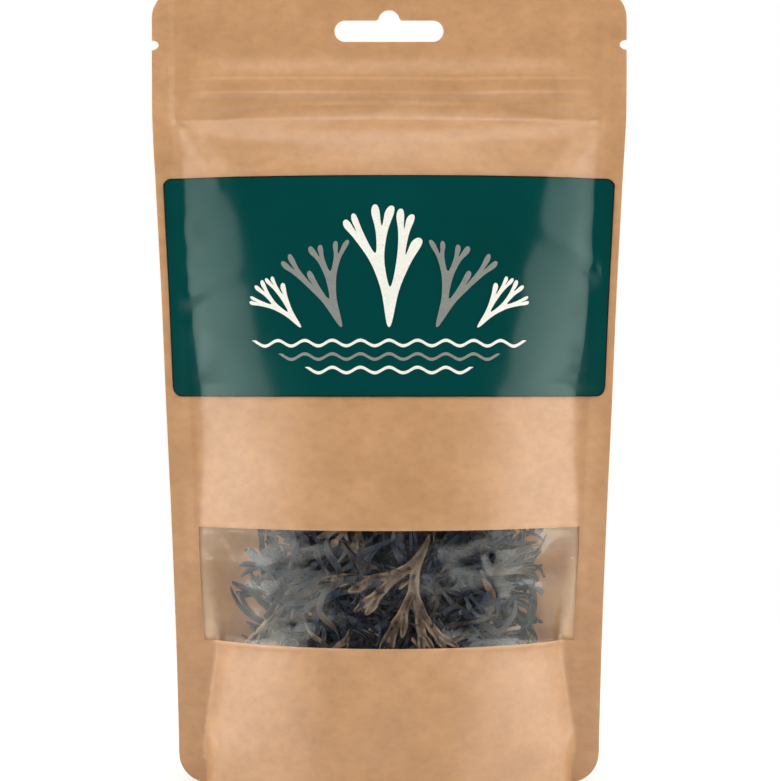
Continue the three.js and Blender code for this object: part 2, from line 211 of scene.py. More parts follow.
paper = {
    "bigWave": (0.34, 27.0),  # height and size of the soft waves in the paper
    "smallWave": (0.09, 10.0),
    "pucker": (0.12, 55.0, 2.6),  # ripples beside the side seals: height, u, half width
    "sealRidge": (0.2, 58.7, 1.0),
    "zipLines": ((187.9, 0.36, 0.7), (185.0, 0.1, 0.6)),  # z, height, half width
    "zipWaver": 0.22,  # how far they wander up and down
    "zipWorn": 0.35,
    "zipFlange": (0.24, 181.0, 192.7),  # height, from z to z
    "zipValley": (181.3, 0.26, 2.2),
    "zipStop": (57.6, 0.9, 187.0, 1.6, 0.22),  # u, half width, z, half width, height
    # below the zip the sides face outwards more: z, where the slope starts, how high it starts
    "shoulder": (
        (106, 30, 0), (135, 36, 0.63), (150, 37.5, 1.4), (165, 41, 2.0),
        (175, 48.5, 1.6), (179, 55, 0.7), (181, 58, 0),
    ),
    "shoulderFoot": 58.6,
    # how softly the slope starts, at a height, and how softly it ends
    "softStart": ((150, 0.03), (168, 0.004)),
    "softEnd": 0.004,
    "footRidge": (15.0, 9.0, 0.9),  # u, half width, height at the foot
    "windowLip": 0.2,
    "flatFrom": 61.5,  # the seals are flat beyond this u
    # creases: u and z of the start, u and z of the end, height, half width
    "frontCreases": (
        (-57.4, 180.2, -46.5, 163.0, 0.3, 1.6),
        (57.6, 178.0, 48.0, 164.5, 0.25, 1.6),
        (-58.0, 132.2, -42.0, 138.0, 0.28, 2.4),
        (58.5, 139.6, 43.0, 150.0, 0.34, 2.8),
        (-57.5, 178.5, 30.0, 179.6, -0.22, 1.2),
        (57.6, 183.0, 50.5, 178.0, -0.4, 0.9),
        (-55.5, 13.5, -51.0, 9.0, 0.45, 1.1),
        (44.5, 18.0, 43.0, 9.5, 0.4, 1.2),
        (57.0, 14.0, 52.5, 8.0, 0.45, 1.1),
        (-50.0, 176.0, -8.0, 172.5, 0.16, 1.6),
        (6.0, 174.0, 46.0, 177.5, 0.16, 1.5),
    ),
    "backCreases": (
        (-57.6, 180.0, -44.0, 160.0, 0.5, 2.2),
        (57.8, 179.0, 45.0, 161.5, 0.45, 2.2),
        (-58.5, 112.0, -47.0, 114.0, -0.6, 2.0),
        (58.5, 96.0, 49.0, 94.5, -0.6, 2.0),
        (-30.0, 171.0, 24.0, 168.0, 0.25, 2.4),
        (-56.0, 14.0, -51.5, 8.5, 0.45, 1.1),
        (56.5, 13.5, 51.5, 8.5, 0.45, 1.1),
    ),
}


def creaseRelief(u, z, crease):
    u0, z0, u1, z1, height, width = crease
    runU, runZ = u1 - u0, z1 - z0
    t = np.clip(((u - u0) * runU + (z - z0) * runZ) / (runU**2 + runZ**2), 0, 1)
    away = np.hypot(u - u0 - t * runU, z - z0 - t * runZ)
    return height * bell(away / width) * (1 - 0.75 * t)


shoulderZ, shoulderStart, shoulderRise = zip(*paper["shoulder"])
softZ, softStart = zip(*paper["softStart"])


def shoulderRelief(out, z):
    # level up to where the slope starts, then straight down to the side seal
    start, rise = np.interp(z, shoulderZ, shoulderStart), np.interp(z, shoulderZ, shoulderRise)
    share = (out - start) / (paper["shoulderFoot"] - start)
    bendOut = np.sqrt(share**2 + np.interp(z, softZ, softStart))
    bendBack = np.sqrt((share - 1) ** 2 + paper["softEnd"])
    return rise * (1 - (1 + bendOut - bendBack) / 2)


def paperRelief(u, z, side):
    # how far the paper stands out from its plain curve
    seed = 3 if side == front else 11
    out = np.abs(u)
    full = np.clip(np.interp(z, heights, bulges) / 6, 0, 1)
    calm = smooth((pouch["arcHalf"] - 1 - out) / 9) * full * smooth(z / 8)
    relief = sum(
        calm * height * softNoise(u, z, size, seed + n)
        for n, (height, size) in enumerate((paper["bigWave"], paper["smallWave"]))
    )
    height, middle, width = paper["pucker"]
    ripple = softNoise(np.sign(u) * 7 + u / 12, z, 5.2, seed + 5)
    ripple += 0.5 * softNoise(u / 5, z, 2.6, seed + 6)
    relief += height * ripple * bell((out - middle) / width) * full * smooth(z / 20)
    height, middle, width = paper["sealRidge"]
    ridge = height * (1 + 0.7 * smooth((z - 176) / 12))
    relief += ridge * bell((out - middle) / width) * smooth((z - 38) / 6)
    # the zip, pressed into the paper from inside
    inZip = smooth((58 - out) / 9)
    level = z + paper["zipWaver"] * softNoise(u, z * 0, 19, seed + 8)
    worn = 1 + paper["zipWorn"] * softNoise(u, z * 0, 13, seed + 9)
    for middle, height, width in paper["zipLines"]:
        relief += height * worn * bell((level - middle) / width) * inZip
    height, bottom, top = paper["zipFlange"]
    relief += height * (smooth((level - bottom) / 5) * smooth((top - level) / 0.6)) * inZip
    middle, depth, width = paper["zipValley"]
    relief -= depth * bell((level - middle) / width) * smooth((58.5 - out) / 3)
    stopU, halfU, stopZ, halfZ, height = paper["zipStop"]
    relief += height * bell((out - stopU) / halfU) * bell((z - stopZ) / halfZ)
    relief += shoulderRelief(out, z)
    middle, width, height = paper["footRidge"]
    relief += height * bell((out - middle) / width) * (1 - smooth(z / 34))
    if side == front:
        lips = bell((z - window["bottom"] + 0.6) / 0.6)
        lips = lips + 0.5 * bell((z - window["top"] - 0.6) / 0.6)
        relief += paper["windowLip"] * lips * smooth((58 - out) / 3)
    for crease in paper["frontCreases" if side == front else "backCreases"]:
        relief += creaseRelief(u, z, crease)
    # flat in the side seals, and never through the other panel
    relief *= smooth((paper["flatFrom"] - out) / 3)
    return np.maximum(relief, -0.75 * np.abs(innerPoints(u, z)[..., 1]))


def sway(x, z):
    # the thin rims of both panels bend to and fro together
    rim = smooth((np.abs(x) - 56) / 8) * (1 - bell((z - 187) / 9)) * smooth(z / 25)
    header = smooth((z - 196) / 18)
    wave = 0.36 * softNoise(x, z * 0, 44, 23) + 0.1 * softNoise(x, z, 12, 24)
    lean = 0.14 * np.maximum(0, -x - 57) * ramp(z, 168, 184)
    return 0.42 * rim * softNoise(z, x * 0, 31, 21) + header * wave + lean


def onPanel(u, z, lift, side=front, relief=None):
    # places on the dressed pouch, in metres
    u, z = np.asarray(u, float), np.asarray(z, float)
    extra = paperRelief(u, z, side) if relief is None else relief
    points = panelPoints(u, z, lift + extra)
    if side == back:
        points[..., :2] *= -1
    points[..., 1] += sway(points[..., 0], z)
    return points * mm


# Mesh helpers


def setActive(obj):
    bpy.ops.object.select_all(action="DESELECT")
    obj.select_set(True)
    bpy.context.view_layer.objects.active = obj


def vertexArray(obj):
    places = np.empty(len(obj.data.vertices) * 3)
    obj.data.vertices.foreach_get("co", places)
    return places.reshape(-1, 3)


def placeVertices(obj, places):
    obj.data.vertices.foreach_set("co", np.ascontiguousarray(places, float).ravel())
    obj.data.update()


def spacedLines(stops):
    # lines from stop to stop: (start, step), ..., (end, None)
    lines = []
    for (start, step), (end, _) in zip(stops, stops[1:]):
        count = max(1, round((end - start) / step))
        lines += [start + (end - start) * i / count for i in range(count)]
    return np.array(lines + [stops[-1][0]])


def mirroredLines(stops):
    half = spacedLines(stops)
    return np.concatenate([-half[:0:-1], half])


def sheetGrid(name, us, zs, place):
    # a grid primitive whose lines go to us and zs, shaped by place(u, z)
    bpy.ops.mesh.primitive_grid_add(x_subdivisions=len(us) - 1, y_subdivisions=len(zs) - 1, size=2)
    sheet = bpy.context.object
    sheet.name = name
    sheet.data.name = name
    flat = vertexArray(sheet)
    u = us[np.rint((flat[:, 0] + 1) / 2 * (len(us) - 1)).astype(int)]
    z = zs[np.rint((flat[:, 1] + 1) / 2 * (len(zs) - 1)).astype(int)]
    placeVertices(sheet, place(u, z))
    return sheet, u, z


def deleteFaces(obj, chosen):
    # chosen(face) picks the faces that come out
    setActive(obj)
    bpy.ops.object.mode_set(mode="EDIT")
    bpy.ops.mesh.select_mode(type="FACE")
    bpy.ops.mesh.select_all(action="DESELECT")
    mesh = bmesh.from_edit_mesh(obj.data)
    for face in mesh.faces:
        if chosen(face):
            face.select = True
    bmesh.update_edit_mesh(obj.data)
    bpy.ops.mesh.delete(type="FACE")
    bpy.ops.object.mode_set(mode="OBJECT")


def applyModifier(obj, kind, **settings):
    setActive(obj)
    modifier = obj.modifiers.new(kind.title(), kind)
    for key, value in settings.items():
        setattr(modifier, key, value)
    bpy.ops.object.modifier_apply(modifier=modifier.name)


def giveThickness(obj, thickness, offset=-1.0, even=True, lining=0):
    # lining counts the material slots from the outer faces to the inner ones
    settings = {"offset": offset, "use_even_offset": even, "material_offset": lining}
    applyModifier(obj, "SOLIDIFY", thickness=thickness * mm, **settings)


def addMaterials(obj, *materials):
    for material in materials:
        obj.data.materials.append(material)


def paintVertices(obj, name, values):
    attribute = obj.data.attributes.new(name, "FLOAT", "POINT")
    attribute.data.foreach_set("value", np.ascontiguousarray(values, float))


def smoothShade(obj, angle=40):
    setActive(obj)
    bpy.ops.object.shade_smooth_by_angle(angle=math.radians(angle))


def joinPieces(pieces, name):
    setActive(pieces[0])
    for piece in pieces:
        piece.select_set(True)
    bpy.ops.object.join()
    joined = bpy.context.object
    joined.name = name
    joined.data.name = name
    return joined


def finishPiece(obj, slot, *nodes):
    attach(obj, "root")
    if nodes:
        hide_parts(*nodes)


# Materials


def newMaterial(name, **values):
    material = bpy.data.materials.new(name)
    material.use_nodes = True
    tree = material.node_tree
    shader = tree.nodes["Principled BSDF"]
    for key, value in values.items():
        shader.inputs[key].default_value = value
    return material, tree, shader


def addNode(tree, kind, **values):
    node = tree.nodes.new(kind)
    for key, value in values.items():
        if key in node.inputs:
            node.inputs[key].default_value = value
        else:
            setattr(node, key, value)
    return node


def colourRamp(tree, source, *stops):
    ramp = addNode(tree, "ShaderNodeValToRGB")
    ramp.color_ramp.elements.remove(ramp.color_ramp.elements[1])
    for n, (place, colour) in enumerate(stops):
        element = ramp.color_ramp.elements[0] if n == 0 else ramp.color_ramp.elements.new(place)
        element.position = place
        element.color = (*colour, 1.0)
    tree.links.new(source, ramp.inputs[0])
    return ramp.outputs[0]


def mixColour(tree, share, first, second, blend="MIX"):
    mix = addNode(tree, "ShaderNodeMix", data_type="RGBA", blend_type=blend)
    for socket, value in ((mix.inputs[0], share), (mix.inputs[6], first), (mix.inputs[7], second)):
        if isinstance(value, bpy.types.NodeSocket):
            tree.links.new(value, socket)
        else:
            socket.default_value = (*value, 1.0) if isinstance(value, tuple) else value
    return mix.outputs[2]


def remap(tree, source, low, high, toLow, toHigh):
    node = addNode(tree, "ShaderNodeMapRange")
    for n, value in enumerate((low, high, toLow, toHigh), start=1):
        node.inputs[n].default_value = value
    tree.links.new(source, node.inputs[0])
    return node.outputs[0]


def bumpInto(tree, shader, height, distance, strength=1.0):
    bump = addNode(tree, "ShaderNodeBump", Strength=strength, Distance=distance)
    tree.links.new(height, bump.inputs["Height"])
    tree.links.new(bump.outputs[0], shader.inputs["Normal"])


def grainGroup():
    # coarse patches and fine grain, both from 0 to 1, with the grain drawn out along X
    group = bpy.data.node_groups.new("patchesAndGrain", "ShaderNodeTree")
    for name, value in (("Patch Scale", 60.0), ("Grain Scale", 900.0), ("Stretch", 3.0)):
        socket = group.interface.new_socket(name=name, in_out="INPUT", socket_type="NodeSocketFloat")
        socket.default_value = value
    for name in ("Patches", "Grain", "Fleck"):
        group.interface.new_socket(name=name, in_out="OUTPUT", socket_type="NodeSocketFloat")
    into, out = addNode(group, "NodeGroupInput"), addNode(group, "NodeGroupOutput")
    where = addNode(group, "ShaderNodeTexCoord")
    stretch = addNode(group, "ShaderNodeCombineXYZ", X=1.0, Y=1.0)
    drawn = addNode(group, "ShaderNodeVectorMath", operation="MULTIPLY")
    patches = addNode(group, "ShaderNodeTexNoise", Detail=4.0, Roughness=0.6)
    grain = addNode(group, "ShaderNodeTexNoise", Detail=5.0, Roughness=0.62)
    fleck = addNode(group, "ShaderNodeTexNoise", Detail=1.0, Roughness=0.4)
    fleckScale = addNode(group, "ShaderNodeMath", operation="MULTIPLY")
    fleckScale.inputs[1].default_value = 0.55
    link = group.links.new
    link(into.outputs["Stretch"], stretch.inputs["Z"])
    link(where.outputs["Object"], drawn.inputs[0])
    link(stretch.outputs[0], drawn.inputs[1])
    link(where.outputs["Object"], patches.inputs["Vector"])
    link(into.outputs["Patch Scale"], patches.inputs["Scale"])
    link(into.outputs["Grain Scale"], fleckScale.inputs[0])
    for node, scale in ((grain, into.outputs["Grain Scale"]), (fleck, fleckScale.outputs[0])):
        link(drawn.outputs[0], node.inputs["Vector"])
        link(scale, node.inputs["Scale"])
    for name, node in (("Patches", patches), ("Grain", grain), ("Fleck", fleck)):
        link(node.outputs[0], out.inputs[name])
    return group


patchesAndGrain = grainGroup()


def addGrain(tree, patchScale, grainScale, stretch=1.0):
    node = addNode(tree, "ShaderNodeGroup")
    node.node_tree = patchesAndGrain
    node.inputs["Patch Scale"].default_value = patchScale
    node.inputs["Grain Scale"].default_value = grainScale
    node.inputs["Stretch"].default_value = stretch
    return node


def kraftMaterial(name, light, dark, roughness, glow=0.4):
    # light passes through the paper, so the inside of the pouch isn't dark
    material, tree, shader = newMaterial(name, IOR=1.55)
    shader.inputs["Specular IOR Level"].default_value = 0.6
    shader.inputs["Subsurface Weight"].default_value = glow
    shader.inputs["Subsurface Radius"].default_value = (1.0, 0.95, 0.9)
    shader.inputs["Subsurface Scale"].default_value = 0.0012
    grain = addGrain(tree, 85.0, 520.0, 1.5)
    patch = remap(tree, grain.outputs["Patches"], 0.36, 0.66, 0.0, 1.0)
    base = mixColour(tree, patch, light, dark)
    fibreTones = ((0.3, (0.88, 0.86, 0.83)), (0.5, (1.0, 1.0, 1.0)), (0.72, (1.05, 1.05, 1.05)))
    fibre = colourRamp(tree, grain.outputs["Grain"], *fibreTones)
    withFibre = mixColour(tree, 0.5, base, fibre, "MULTIPLY")
    fleckTones = ((0.28, (0.87, 0.85, 0.82)), (0.5, (1.0, 1.0, 1.0)), (0.72, (1.09, 1.1, 1.08)))
    fleck = colourRamp(tree, grain.outputs["Fleck"], *fleckTones)
    colour = mixColour(tree, 0.4, withFibre, fleck, "MULTIPLY")
    tree.links.new(colour, shader.inputs["Base Color"])
    rough = remap(tree, grain.outputs["Grain"], 0.3, 0.7, roughness - 0.05, roughness + 0.07)
    tree.links.new(rough, shader.inputs["Roughness"])
    bumpInto(tree, shader, grain.outputs["Grain"], 0.00008, 0.35)
    return material


def labelMaterial():
    material, tree, shader = newMaterial("labelGreen")
    shader.inputs["Specular IOR Level"].default_value = 0.42
    shader.inputs["Specular Tint"].default_value = (0.86, 1.0, 0.9, 1.0)
    grain = addGrain(tree, 30.0, 1500.0)
    patch = remap(tree, grain.outputs["Patches"], 0.35, 0.65, 0.0, 1.0)
    green = mixColour(tree, patch, (0.0, 0.039, 0.036), (0.0, 0.046, 0.043))
    # painted shade: the label's colour goes near black within about half a millimetre of its outline, a dark
    # ring standing in for the shade along its edge
    rim = addNode(tree, "ShaderNodeAttribute", attribute_name="fromRim")
    inside = remap(tree, rim.outputs["Fac"], 0.25, 0.5, 0.0, 1.0)
    tree.links.new(mixColour(tree, inside, (0.006, 0.011, 0.012), green), shader.inputs["Base Color"])
    tree.links.new(remap(tree, grain.outputs["Patches"], 0.3, 0.7, 0.09, 0.15), shader.inputs["Roughness"])
    bumpInto(tree, shader, grain.outputs["Grain"], 0.00002, 0.12)
    return material


def inkMaterial(name, colour):
    material, tree, shader = newMaterial(name)
    grain = addGrain(tree, 120.0, 2200.0)
    worn = tuple(0.86 * c for c in colour)
    wear = remap(tree, grain.outputs["Grain"], 0.4, 0.65, 0.0, 1.0)
    tree.links.new(mixColour(tree, wear, colour, worn), shader.inputs["Base Color"])
    tree.links.new(remap(tree, grain.outputs["Patches"], 0.3, 0.7, 0.22, 0.3), shader.inputs["Roughness"])
    return material


def filmMaterial():
    # a mirror that is nearly all see-through leaves only the film's reflections
    material, tree, shader = newMaterial("clearFilm", Metallic=1.0)
    grain = addGrain(tree, 55.0, 130.0)
    tint = remap(tree, grain.outputs["Patches"], 0.3, 0.7, 0.0, 1.0)
    tree.links.new(mixColour(tree, tint, (0.90, 0.93, 0.84), (1.0, 0.99, 0.92)), shader.inputs["Base Color"])
    tree.links.new(remap(tree, grain.outputs["Patches"], 0.35, 0.65, 0.06, 0.16), shader.inputs["Roughness"])
    tree.links.new(remap(tree, grain.outputs["Patches"], 0.38, 0.62, 0.022, 0.046), shader.inputs["Alpha"])
    bumpInto(tree, shader, grain.outputs["Patches"], 0.0009, 0.2)
    return material


def zipMaterial():
    material, tree, shader = newMaterial("milkyZip")
    grain = addGrain(tree, 150.0, 900.0, 0.2)
    milky = mixColour(tree, grain.outputs["Patches"], (0.70, 0.71, 0.68), (0.80, 0.80, 0.78))
    tree.links.new(milky, shader.inputs["Base Color"])
    tree.links.new(remap(tree, grain.outputs["Grain"], 0.3, 0.7, 0.28, 0.42), shader.inputs["Roughness"])
    return material


def frondMaterial(name, deep, middle, pale, roughness, gloss):
    # pale shows in a few patches and on the dried edges; the raised wrinkles get a painted highlight and
    # their hollows a painted shade
    material, tree, shader = newMaterial(name)
    shader.inputs["Specular IOR Level"].default_value = gloss
    grain = addGrain(tree, 150.0, 900.0, 0.6)
    patchy = colourRamp(tree, grain.outputs["Patches"], (0.34, deep), (0.52, middle), (0.7, pale))
    # painted highlight and painted shade: lighter where the grain that makes the bump is high, darker where
    # it is low
    wrinkleHighlightAndShadeTones = ((0.32, (0.62, 0.62, 0.66)), (0.5, (1.0, 1.0, 1.0)), (0.68, (1.5, 1.45, 1.4)))
    wrinkleHighlightAndShade = colourRamp(tree, grain.outputs["Grain"], *wrinkleHighlightAndShadeTones)
    withWrinkleHighlightAndShade = mixColour(tree, 0.8, patchy, wrinkleHighlightAndShade, "MULTIPLY")
    edge = addNode(tree, "ShaderNodeAttribute", attribute_name="edge")
    dried = addNode(tree, "ShaderNodeMath", operation="MULTIPLY")
    tree.links.new(remap(tree, edge.outputs["Fac"], 0.3, 1.0, 0.0, 0.85), dried.inputs[0])
    tree.links.new(remap(tree, grain.outputs["Patches"], 0.42, 0.6, 0.0, 1.0), dried.inputs[1])
    tree.links.new(mixColour(tree, dried.outputs[0], withWrinkleHighlightAndShade, pale), shader.inputs["Base Color"])
    rough = remap(tree, grain.outputs["Patches"], 0.3, 0.7, roughness - 0.08, roughness + 0.14)
    tree.links.new(rough, shader.inputs["Roughness"])
    bumpInto(tree, shader, grain.outputs["Grain"], 0.0004, 0.55)
    return material


kraftOuter = kraftMaterial("kraftOuter", (0.505, 0.278, 0.130), (0.44, 0.236, 0.105), 0.36)
kraftLining = kraftMaterial("kraftLining", (0.66, 0.49, 0.315), (0.60, 0.435, 0.28), 0.5, 1.0)
kraftGusset = kraftMaterial("kraftGusset", (0.48, 0.275, 0.125), (0.42, 0.237, 0.104), 0.42)
labelGreen = labelMaterial()
inkPale = inkMaterial("inkPale", (0.78, 0.77, 0.69))
inkGrey = inkMaterial("inkGrey", (0.215, 0.225, 0.205))
clearFilm = filmMaterial()
milkyZip = zipMaterial()
frondFinish = {
    "seaweed_dark": frondMaterial(
        "mossDark", (0.006, 0.011, 0.023), (0.010, 0.019, 0.036), (0.06, 0.055, 0.055), 0.3, 0.28
    ),
    "seaweed_brown": frondMaterial(
        "mossBrown", (0.009, 0.007, 0.008), (0.028, 0.02, 0.019), (0.11, 0.082, 0.066), 0.34, 0.28
    ),
    "seaweed_tan": frondMaterial(
        "mossTan", (0.036, 0.022, 0.014), (0.105, 0.068, 0.043), (0.27, 0.195, 0.13), 0.42, 0.35
    ),
}
print("materials made")


# Cutters for the head and the corners


head = {
    "slotLength": 29.8,
    "slotBottom": 202.5,
    "slotTop": 208.4,
    "bumpRadius": 2.9,
    "bumpDown": 0.1,  # its middle is this far below the top of the slot
    "fillet": 1.0,
    "notchZ": 201.7,
    "notchDepth": 1.9,
    "notchHalf": 1.35,
    "smallSides": 32,  # sides of the cylinders that cut the fillets and the notches
    # how far along Y the cutters reach
    "roundReach": 80.0,
    "blockReach": 78.0,
}


def addRound(x, z, radius, radiusZ=None, vertices=64):
    # a cylinder through the pouch along Y
    bpy.ops.mesh.primitive_cylinder_add(
        vertices=vertices,
        radius=radius * mm,
        depth=head["roundReach"] * mm,
        location=(x * mm, 0, z * mm),
        rotation=(math.pi / 2, 0, 0),
    )
    bpy.context.object.scale.y = (radiusZ or radius) / radius
    bpy.ops.object.transform_apply()
    return bpy.context.object


def addBlock(x0, x1, z0, z1):
    bpy.ops.mesh.primitive_cube_add(size=1, location=((x0 + x1) / 2 * mm, 0, (z0 + z1) / 2 * mm))
    bpy.context.object.scale = ((x1 - x0) * mm, head["blockReach"] * mm, (z1 - z0) * mm)
    bpy.ops.object.transform_apply()
    return bpy.context.object


def cutWith(obj, cutters, keep=False):
    for cutter in cutters:
        # the cut faces take the first material of what is cut
        cutter.data.materials.clear()
        addMaterials(cutter, *obj.data.materials[:1])
        applyModifier(obj, "BOOLEAN", operation="DIFFERENCE", solver="MANIFOLD", object=cutter)
    if not keep:
        for cutter in cutters:
            bpy.data.objects.remove(cutter)


def offcut(x, z, radius, up):
    # what rounding takes off a corner whose point is at x, z
    side = math.copysign(1, x)
    insideX, insideZ = x - side * radius, z - up * radius
    block = addBlock(*sorted((insideX, x + side)), *sorted((insideZ, z + up)))
    cutWith(block, [addRound(insideX, insideZ, radius)])
    return block


def slotCutters():
    radius = (head["slotTop"] - head["slotBottom"]) / 2
    endX = head["slotLength"] / 2 - radius
    bar = addRound(0, (head["slotTop"] + head["slotBottom"]) / 2, radius)
    places = vertexArray(bar)
    places[:, 0] += np.where(places[:, 0] >= 0, endX, -endX) * mm
    placeVertices(bar, places)
    bumpZ, filletZ = head["slotTop"] - head["bumpDown"], head["slotTop"] + head["fillet"]
    bump = addRound(0, bumpZ, head["bumpRadius"])
    reach = head["bumpRadius"] + head["fillet"]
    filletX = math.sqrt(reach**2 - (filletZ - bumpZ) ** 2)
    bridge = addBlock(-filletX, filletX, head["slotTop"] - 0.5, filletZ)
    fillets = [
        addRound(side * filletX, filletZ, head["fillet"], vertices=head["smallSides"]) for side in (-1, 1)
    ]
    cutWith(bridge, fillets)
    return [bar, bump, bridge]


def panelCutters():
    footX = float(innerPoints(np.array(pouch["flatHalf"]), np.array(0.0))[0])
    cutters = slotCutters()
    notch = (head["notchZ"], head["notchDepth"], head["notchHalf"], head["smallSides"])
    for side in (-1, 1):
        cutters.append(addRound(side * pouch["flatHalf"], *notch))
        cutters.append(offcut(side * pouch["flatHalf"], pouch["height"], pouch["corner"], 1))
        cutters.append(offcut(side * footX, 0, pouch["corner"], -1))
    return cutters


# Panels

# where the lines of the grid change their spacing, and the spacing from there on
panelGrid = {
    "us": mirroredLines(((0, 1.35), (44, 0.95), (57.5, 0.75), (59, 1.0), (65, None))),
    "zs": spacedLines(
        (
            (0, 1.25), (36.5, 0.5), (39, 1.25), (70, 0.5), (72.5, 1.35),
            (160, 1.1), (178, 0.45), (194, 1.2), (217, None),
        )
    ),
}


def makePanel(name, side, cutters):
    us, zs = panelGrid["us"], panelGrid["zs"]
    sheet, u, z = sheetGrid(name, us, zs, lambda u, z: onPanel(u, z, pouch["wall"], side))
    if side == front:

        def isWindow(face):
            middleU = sum(u[v.index] for v in face.verts) / len(face.verts)
            middleZ = sum(z[v.index] for v in face.verts) / len(face.verts)
            return abs(middleU) < window["half"] and window["bottom"] < middleZ < window["top"]

        deleteFaces(sheet, isWindow)
    addMaterials(sheet, kraftOuter, kraftLining)
    giveThickness(sheet, pouch["wall"] + pouch["welded"], lining=1)
    cutWith(sheet, cutters, keep=True)
    smoothShade(sheet, 35)
    return sheet


cutters = panelCutters()
frontPanel = makePanel("kraft_front", front, cutters)
backPanel = makePanel("kraft_back", back, cutters)
for cutter in cutters:
    bpy.data.objects.remove(cutter)
finishPiece(frontPanel, "kraft_paper", "front_panel")
finishPiece(backPanel, "kraft_paper", "back_panel")
print("panels made")


# Gusset

gusset = {
    "half": 35.0,
    "wall": 0.35,
    "footSeal": 5.0,
    "power": 2.5,
    "reach": 52.0,
    "lines": 61,  # from the front foot to the back foot
    "onPanel": 0.3,  # the share of the sheet, at the front and at the back, that lies on the panel
    "foot": 0.4,
    "arch": 0.09,
    "wave": (0.5, 14.0),  # height, size
    "fold": (0.5, 0.03),  # how sharp the fold is: height, half width as a share of the sheet
}


def gussetPlaces(u, share):
    # share runs from -1 at the front foot to 1 at the back foot, over the fold at 0
    out = np.abs(u)
    low, foot, sealShare = gusset["footSeal"], gusset["foot"], gusset["onPanel"]
    top = low + (gusset["half"] - low) * (out / pouch["arcHalf"]) ** gusset["power"]
    edge = panelPoints(u, top, paperRelief(u, top, front) - pouch["skinGap"])
    ridge = top + np.sqrt(np.maximum((gusset["half"] - top) ** 2 - edge[:, 1] ** 2, 0))
    s = np.abs(share)
    climb = np.clip((1 - s) / sealShare, 0, 1)
    height = foot + (top - foot) * climb
    seal = panelPoints(u, height, paperRelief(u, height, front) - pouch["skinGap"])
    over = np.clip((1 - sealShare - s) / (1 - sealShare), 0, 1)
    hump = np.sin(math.pi * over)
    rise = over + gusset["arch"] * hump
    slope = np.stack([edge[:, 0], edge[:, 1] * (1 - over), top + (ridge - top) * rise], axis=-1)
    waveHeight, waveSize = gusset["wave"]
    slope[:, 2] += waveHeight * hump * softNoise(u, share * 40, waveSize, 31)
    foldHeight, foldHalf = gusset["fold"]
    slope[:, 2] -= foldHeight * bell(s / foldHalf)
    places = np.where((s >= 1 - sealShare)[:, None], seal, slope)
    places[:, 1] *= np.where(share > 0, -1, 1)
    return places * mm


gussetSheet, _, _ = sheetGrid(
    "gusset_sheet",
    mirroredLines(((0, 1.6), (gusset["reach"], None))),
    np.linspace(-1, 1, gusset["lines"]),
    gussetPlaces,
)
addMaterials(gussetSheet, kraftGusset)
giveThickness(gussetSheet, gusset["wall"])
smoothShade(gussetSheet, 50)
finishPiece(gussetSheet, "kraft_paper", "bottom_gusset")
print("gusset made")


# Window film

film = {
    "half": 58.3,
    "lap": 5.0,
    "thickness": 0.2,
    "facets": ((0.62, 12.5), (0.2, 5.0)),  # height, size
    "sag": 0.35,
    "warp": (3.0, 16.0),  # how far the facets are pushed about, and over what distance it changes
    # the share of the folds that is left there, and between which u they change
    "calmMiddle": (0.2, 8.0, 20.0),
    "calmEnds": (0.35, 43.0, 50.0),
}


def facetNoise(x, y, size, seed):
    # heights from -1 to 1 on a grid of triangles about `size` wide, flat in each triangle
    y = y / size * 1.15
    x = x / size - 0.5 * y
    ix, iy = np.floor(x), np.floor(y)
    fx, fy = x - ix, y - iy
    near, far = cornerHeight(ix, iy, seed), cornerHeight(ix + 1, iy + 1, seed)
    right, left = cornerHeight(ix + 1, iy, seed), cornerHeight(ix, iy + 1, seed)
    lower = right * fx + left * fy + near * (1 - fx - fy)
    upper = right * (1 - fy) + left * (1 - fx) + far * (fx + fy - 1)
    return np.where(fx + fy < 1, lower, upper)


def filmPlaces(u, z):
    out = np.abs(u)
    inside = smooth((z - window["bottom"]) / 6) * smooth((window["top"] - z) / 5)
    inside *= smooth((window["half"] - out) / 4)
    sag = film["sag"] * inside * smooth((window["top"] - z) / 24)
    push, size = film["warp"]
    warpU, warpZ = u + push * softNoise(u, z, size, 44), z + push * softNoise(u, z, size, 45)
    folds = sum(
        height * facetNoise(warpU, warpZ, size, 41 + n) for n, (height, size) in enumerate(film["facets"])
    )
    # smooth in the middle, most creased where the seaweed ends
    middleShare, *middleU = film["calmMiddle"]
    endShare, *endU = film["calmEnds"]
    folds *= middleShare + (1 - middleShare) * ramp(out, *middleU)
    folds *= 1 - (1 - endShare) * ramp(out, *endU)
    relief = paperRelief(u, z, front) + inside * folds - sag
    return onPanel(u, z, -pouch["skinGap"], front, relief)


filmSheet, _, _ = sheetGrid(
    "window_pane",
    mirroredLines(((0, 0.85), (film["half"], None))),
    spacedLines(((window["bottom"] - film["lap"], 0.85), (window["top"] + film["lap"], None))),
    filmPlaces,
)
addMaterials(filmSheet, clearFilm)
giveThickness(filmSheet, film["thickness"])
smoothShade(filmSheet, 50)
finishPiece(filmSheet, "clear_film", "window_film")
print("film made")


# Label and its print

label = {
    "half": 62.9,
    "bottom": 105.5,
    "top": 165.0,
    "corner": 2.5,
    "thickness": 0.25,
    "rim": 0.6,
    # how far apart the lines of its grid are, and in the rim
    "lines": 1.1,
    "rimLines": 0.3,
}
labelLift = pouch["wall"] + pouch["skinGap"] + label["thickness"]


def distanceInside(u, z):
    # from the label's outline, in millimetres
    halfHigh = (label["top"] - label["bottom"]) / 2
    reach = label["corner"]
    outU = np.abs(u) - (label["half"] - reach)
    outZ = np.abs(z - label["bottom"] - halfHigh) - (halfHigh - reach)
    beyond = np.hypot(np.maximum(outU, 0), np.maximum(outZ, 0))
    return reach - beyond - np.minimum(np.maximum(outU, outZ), 0)


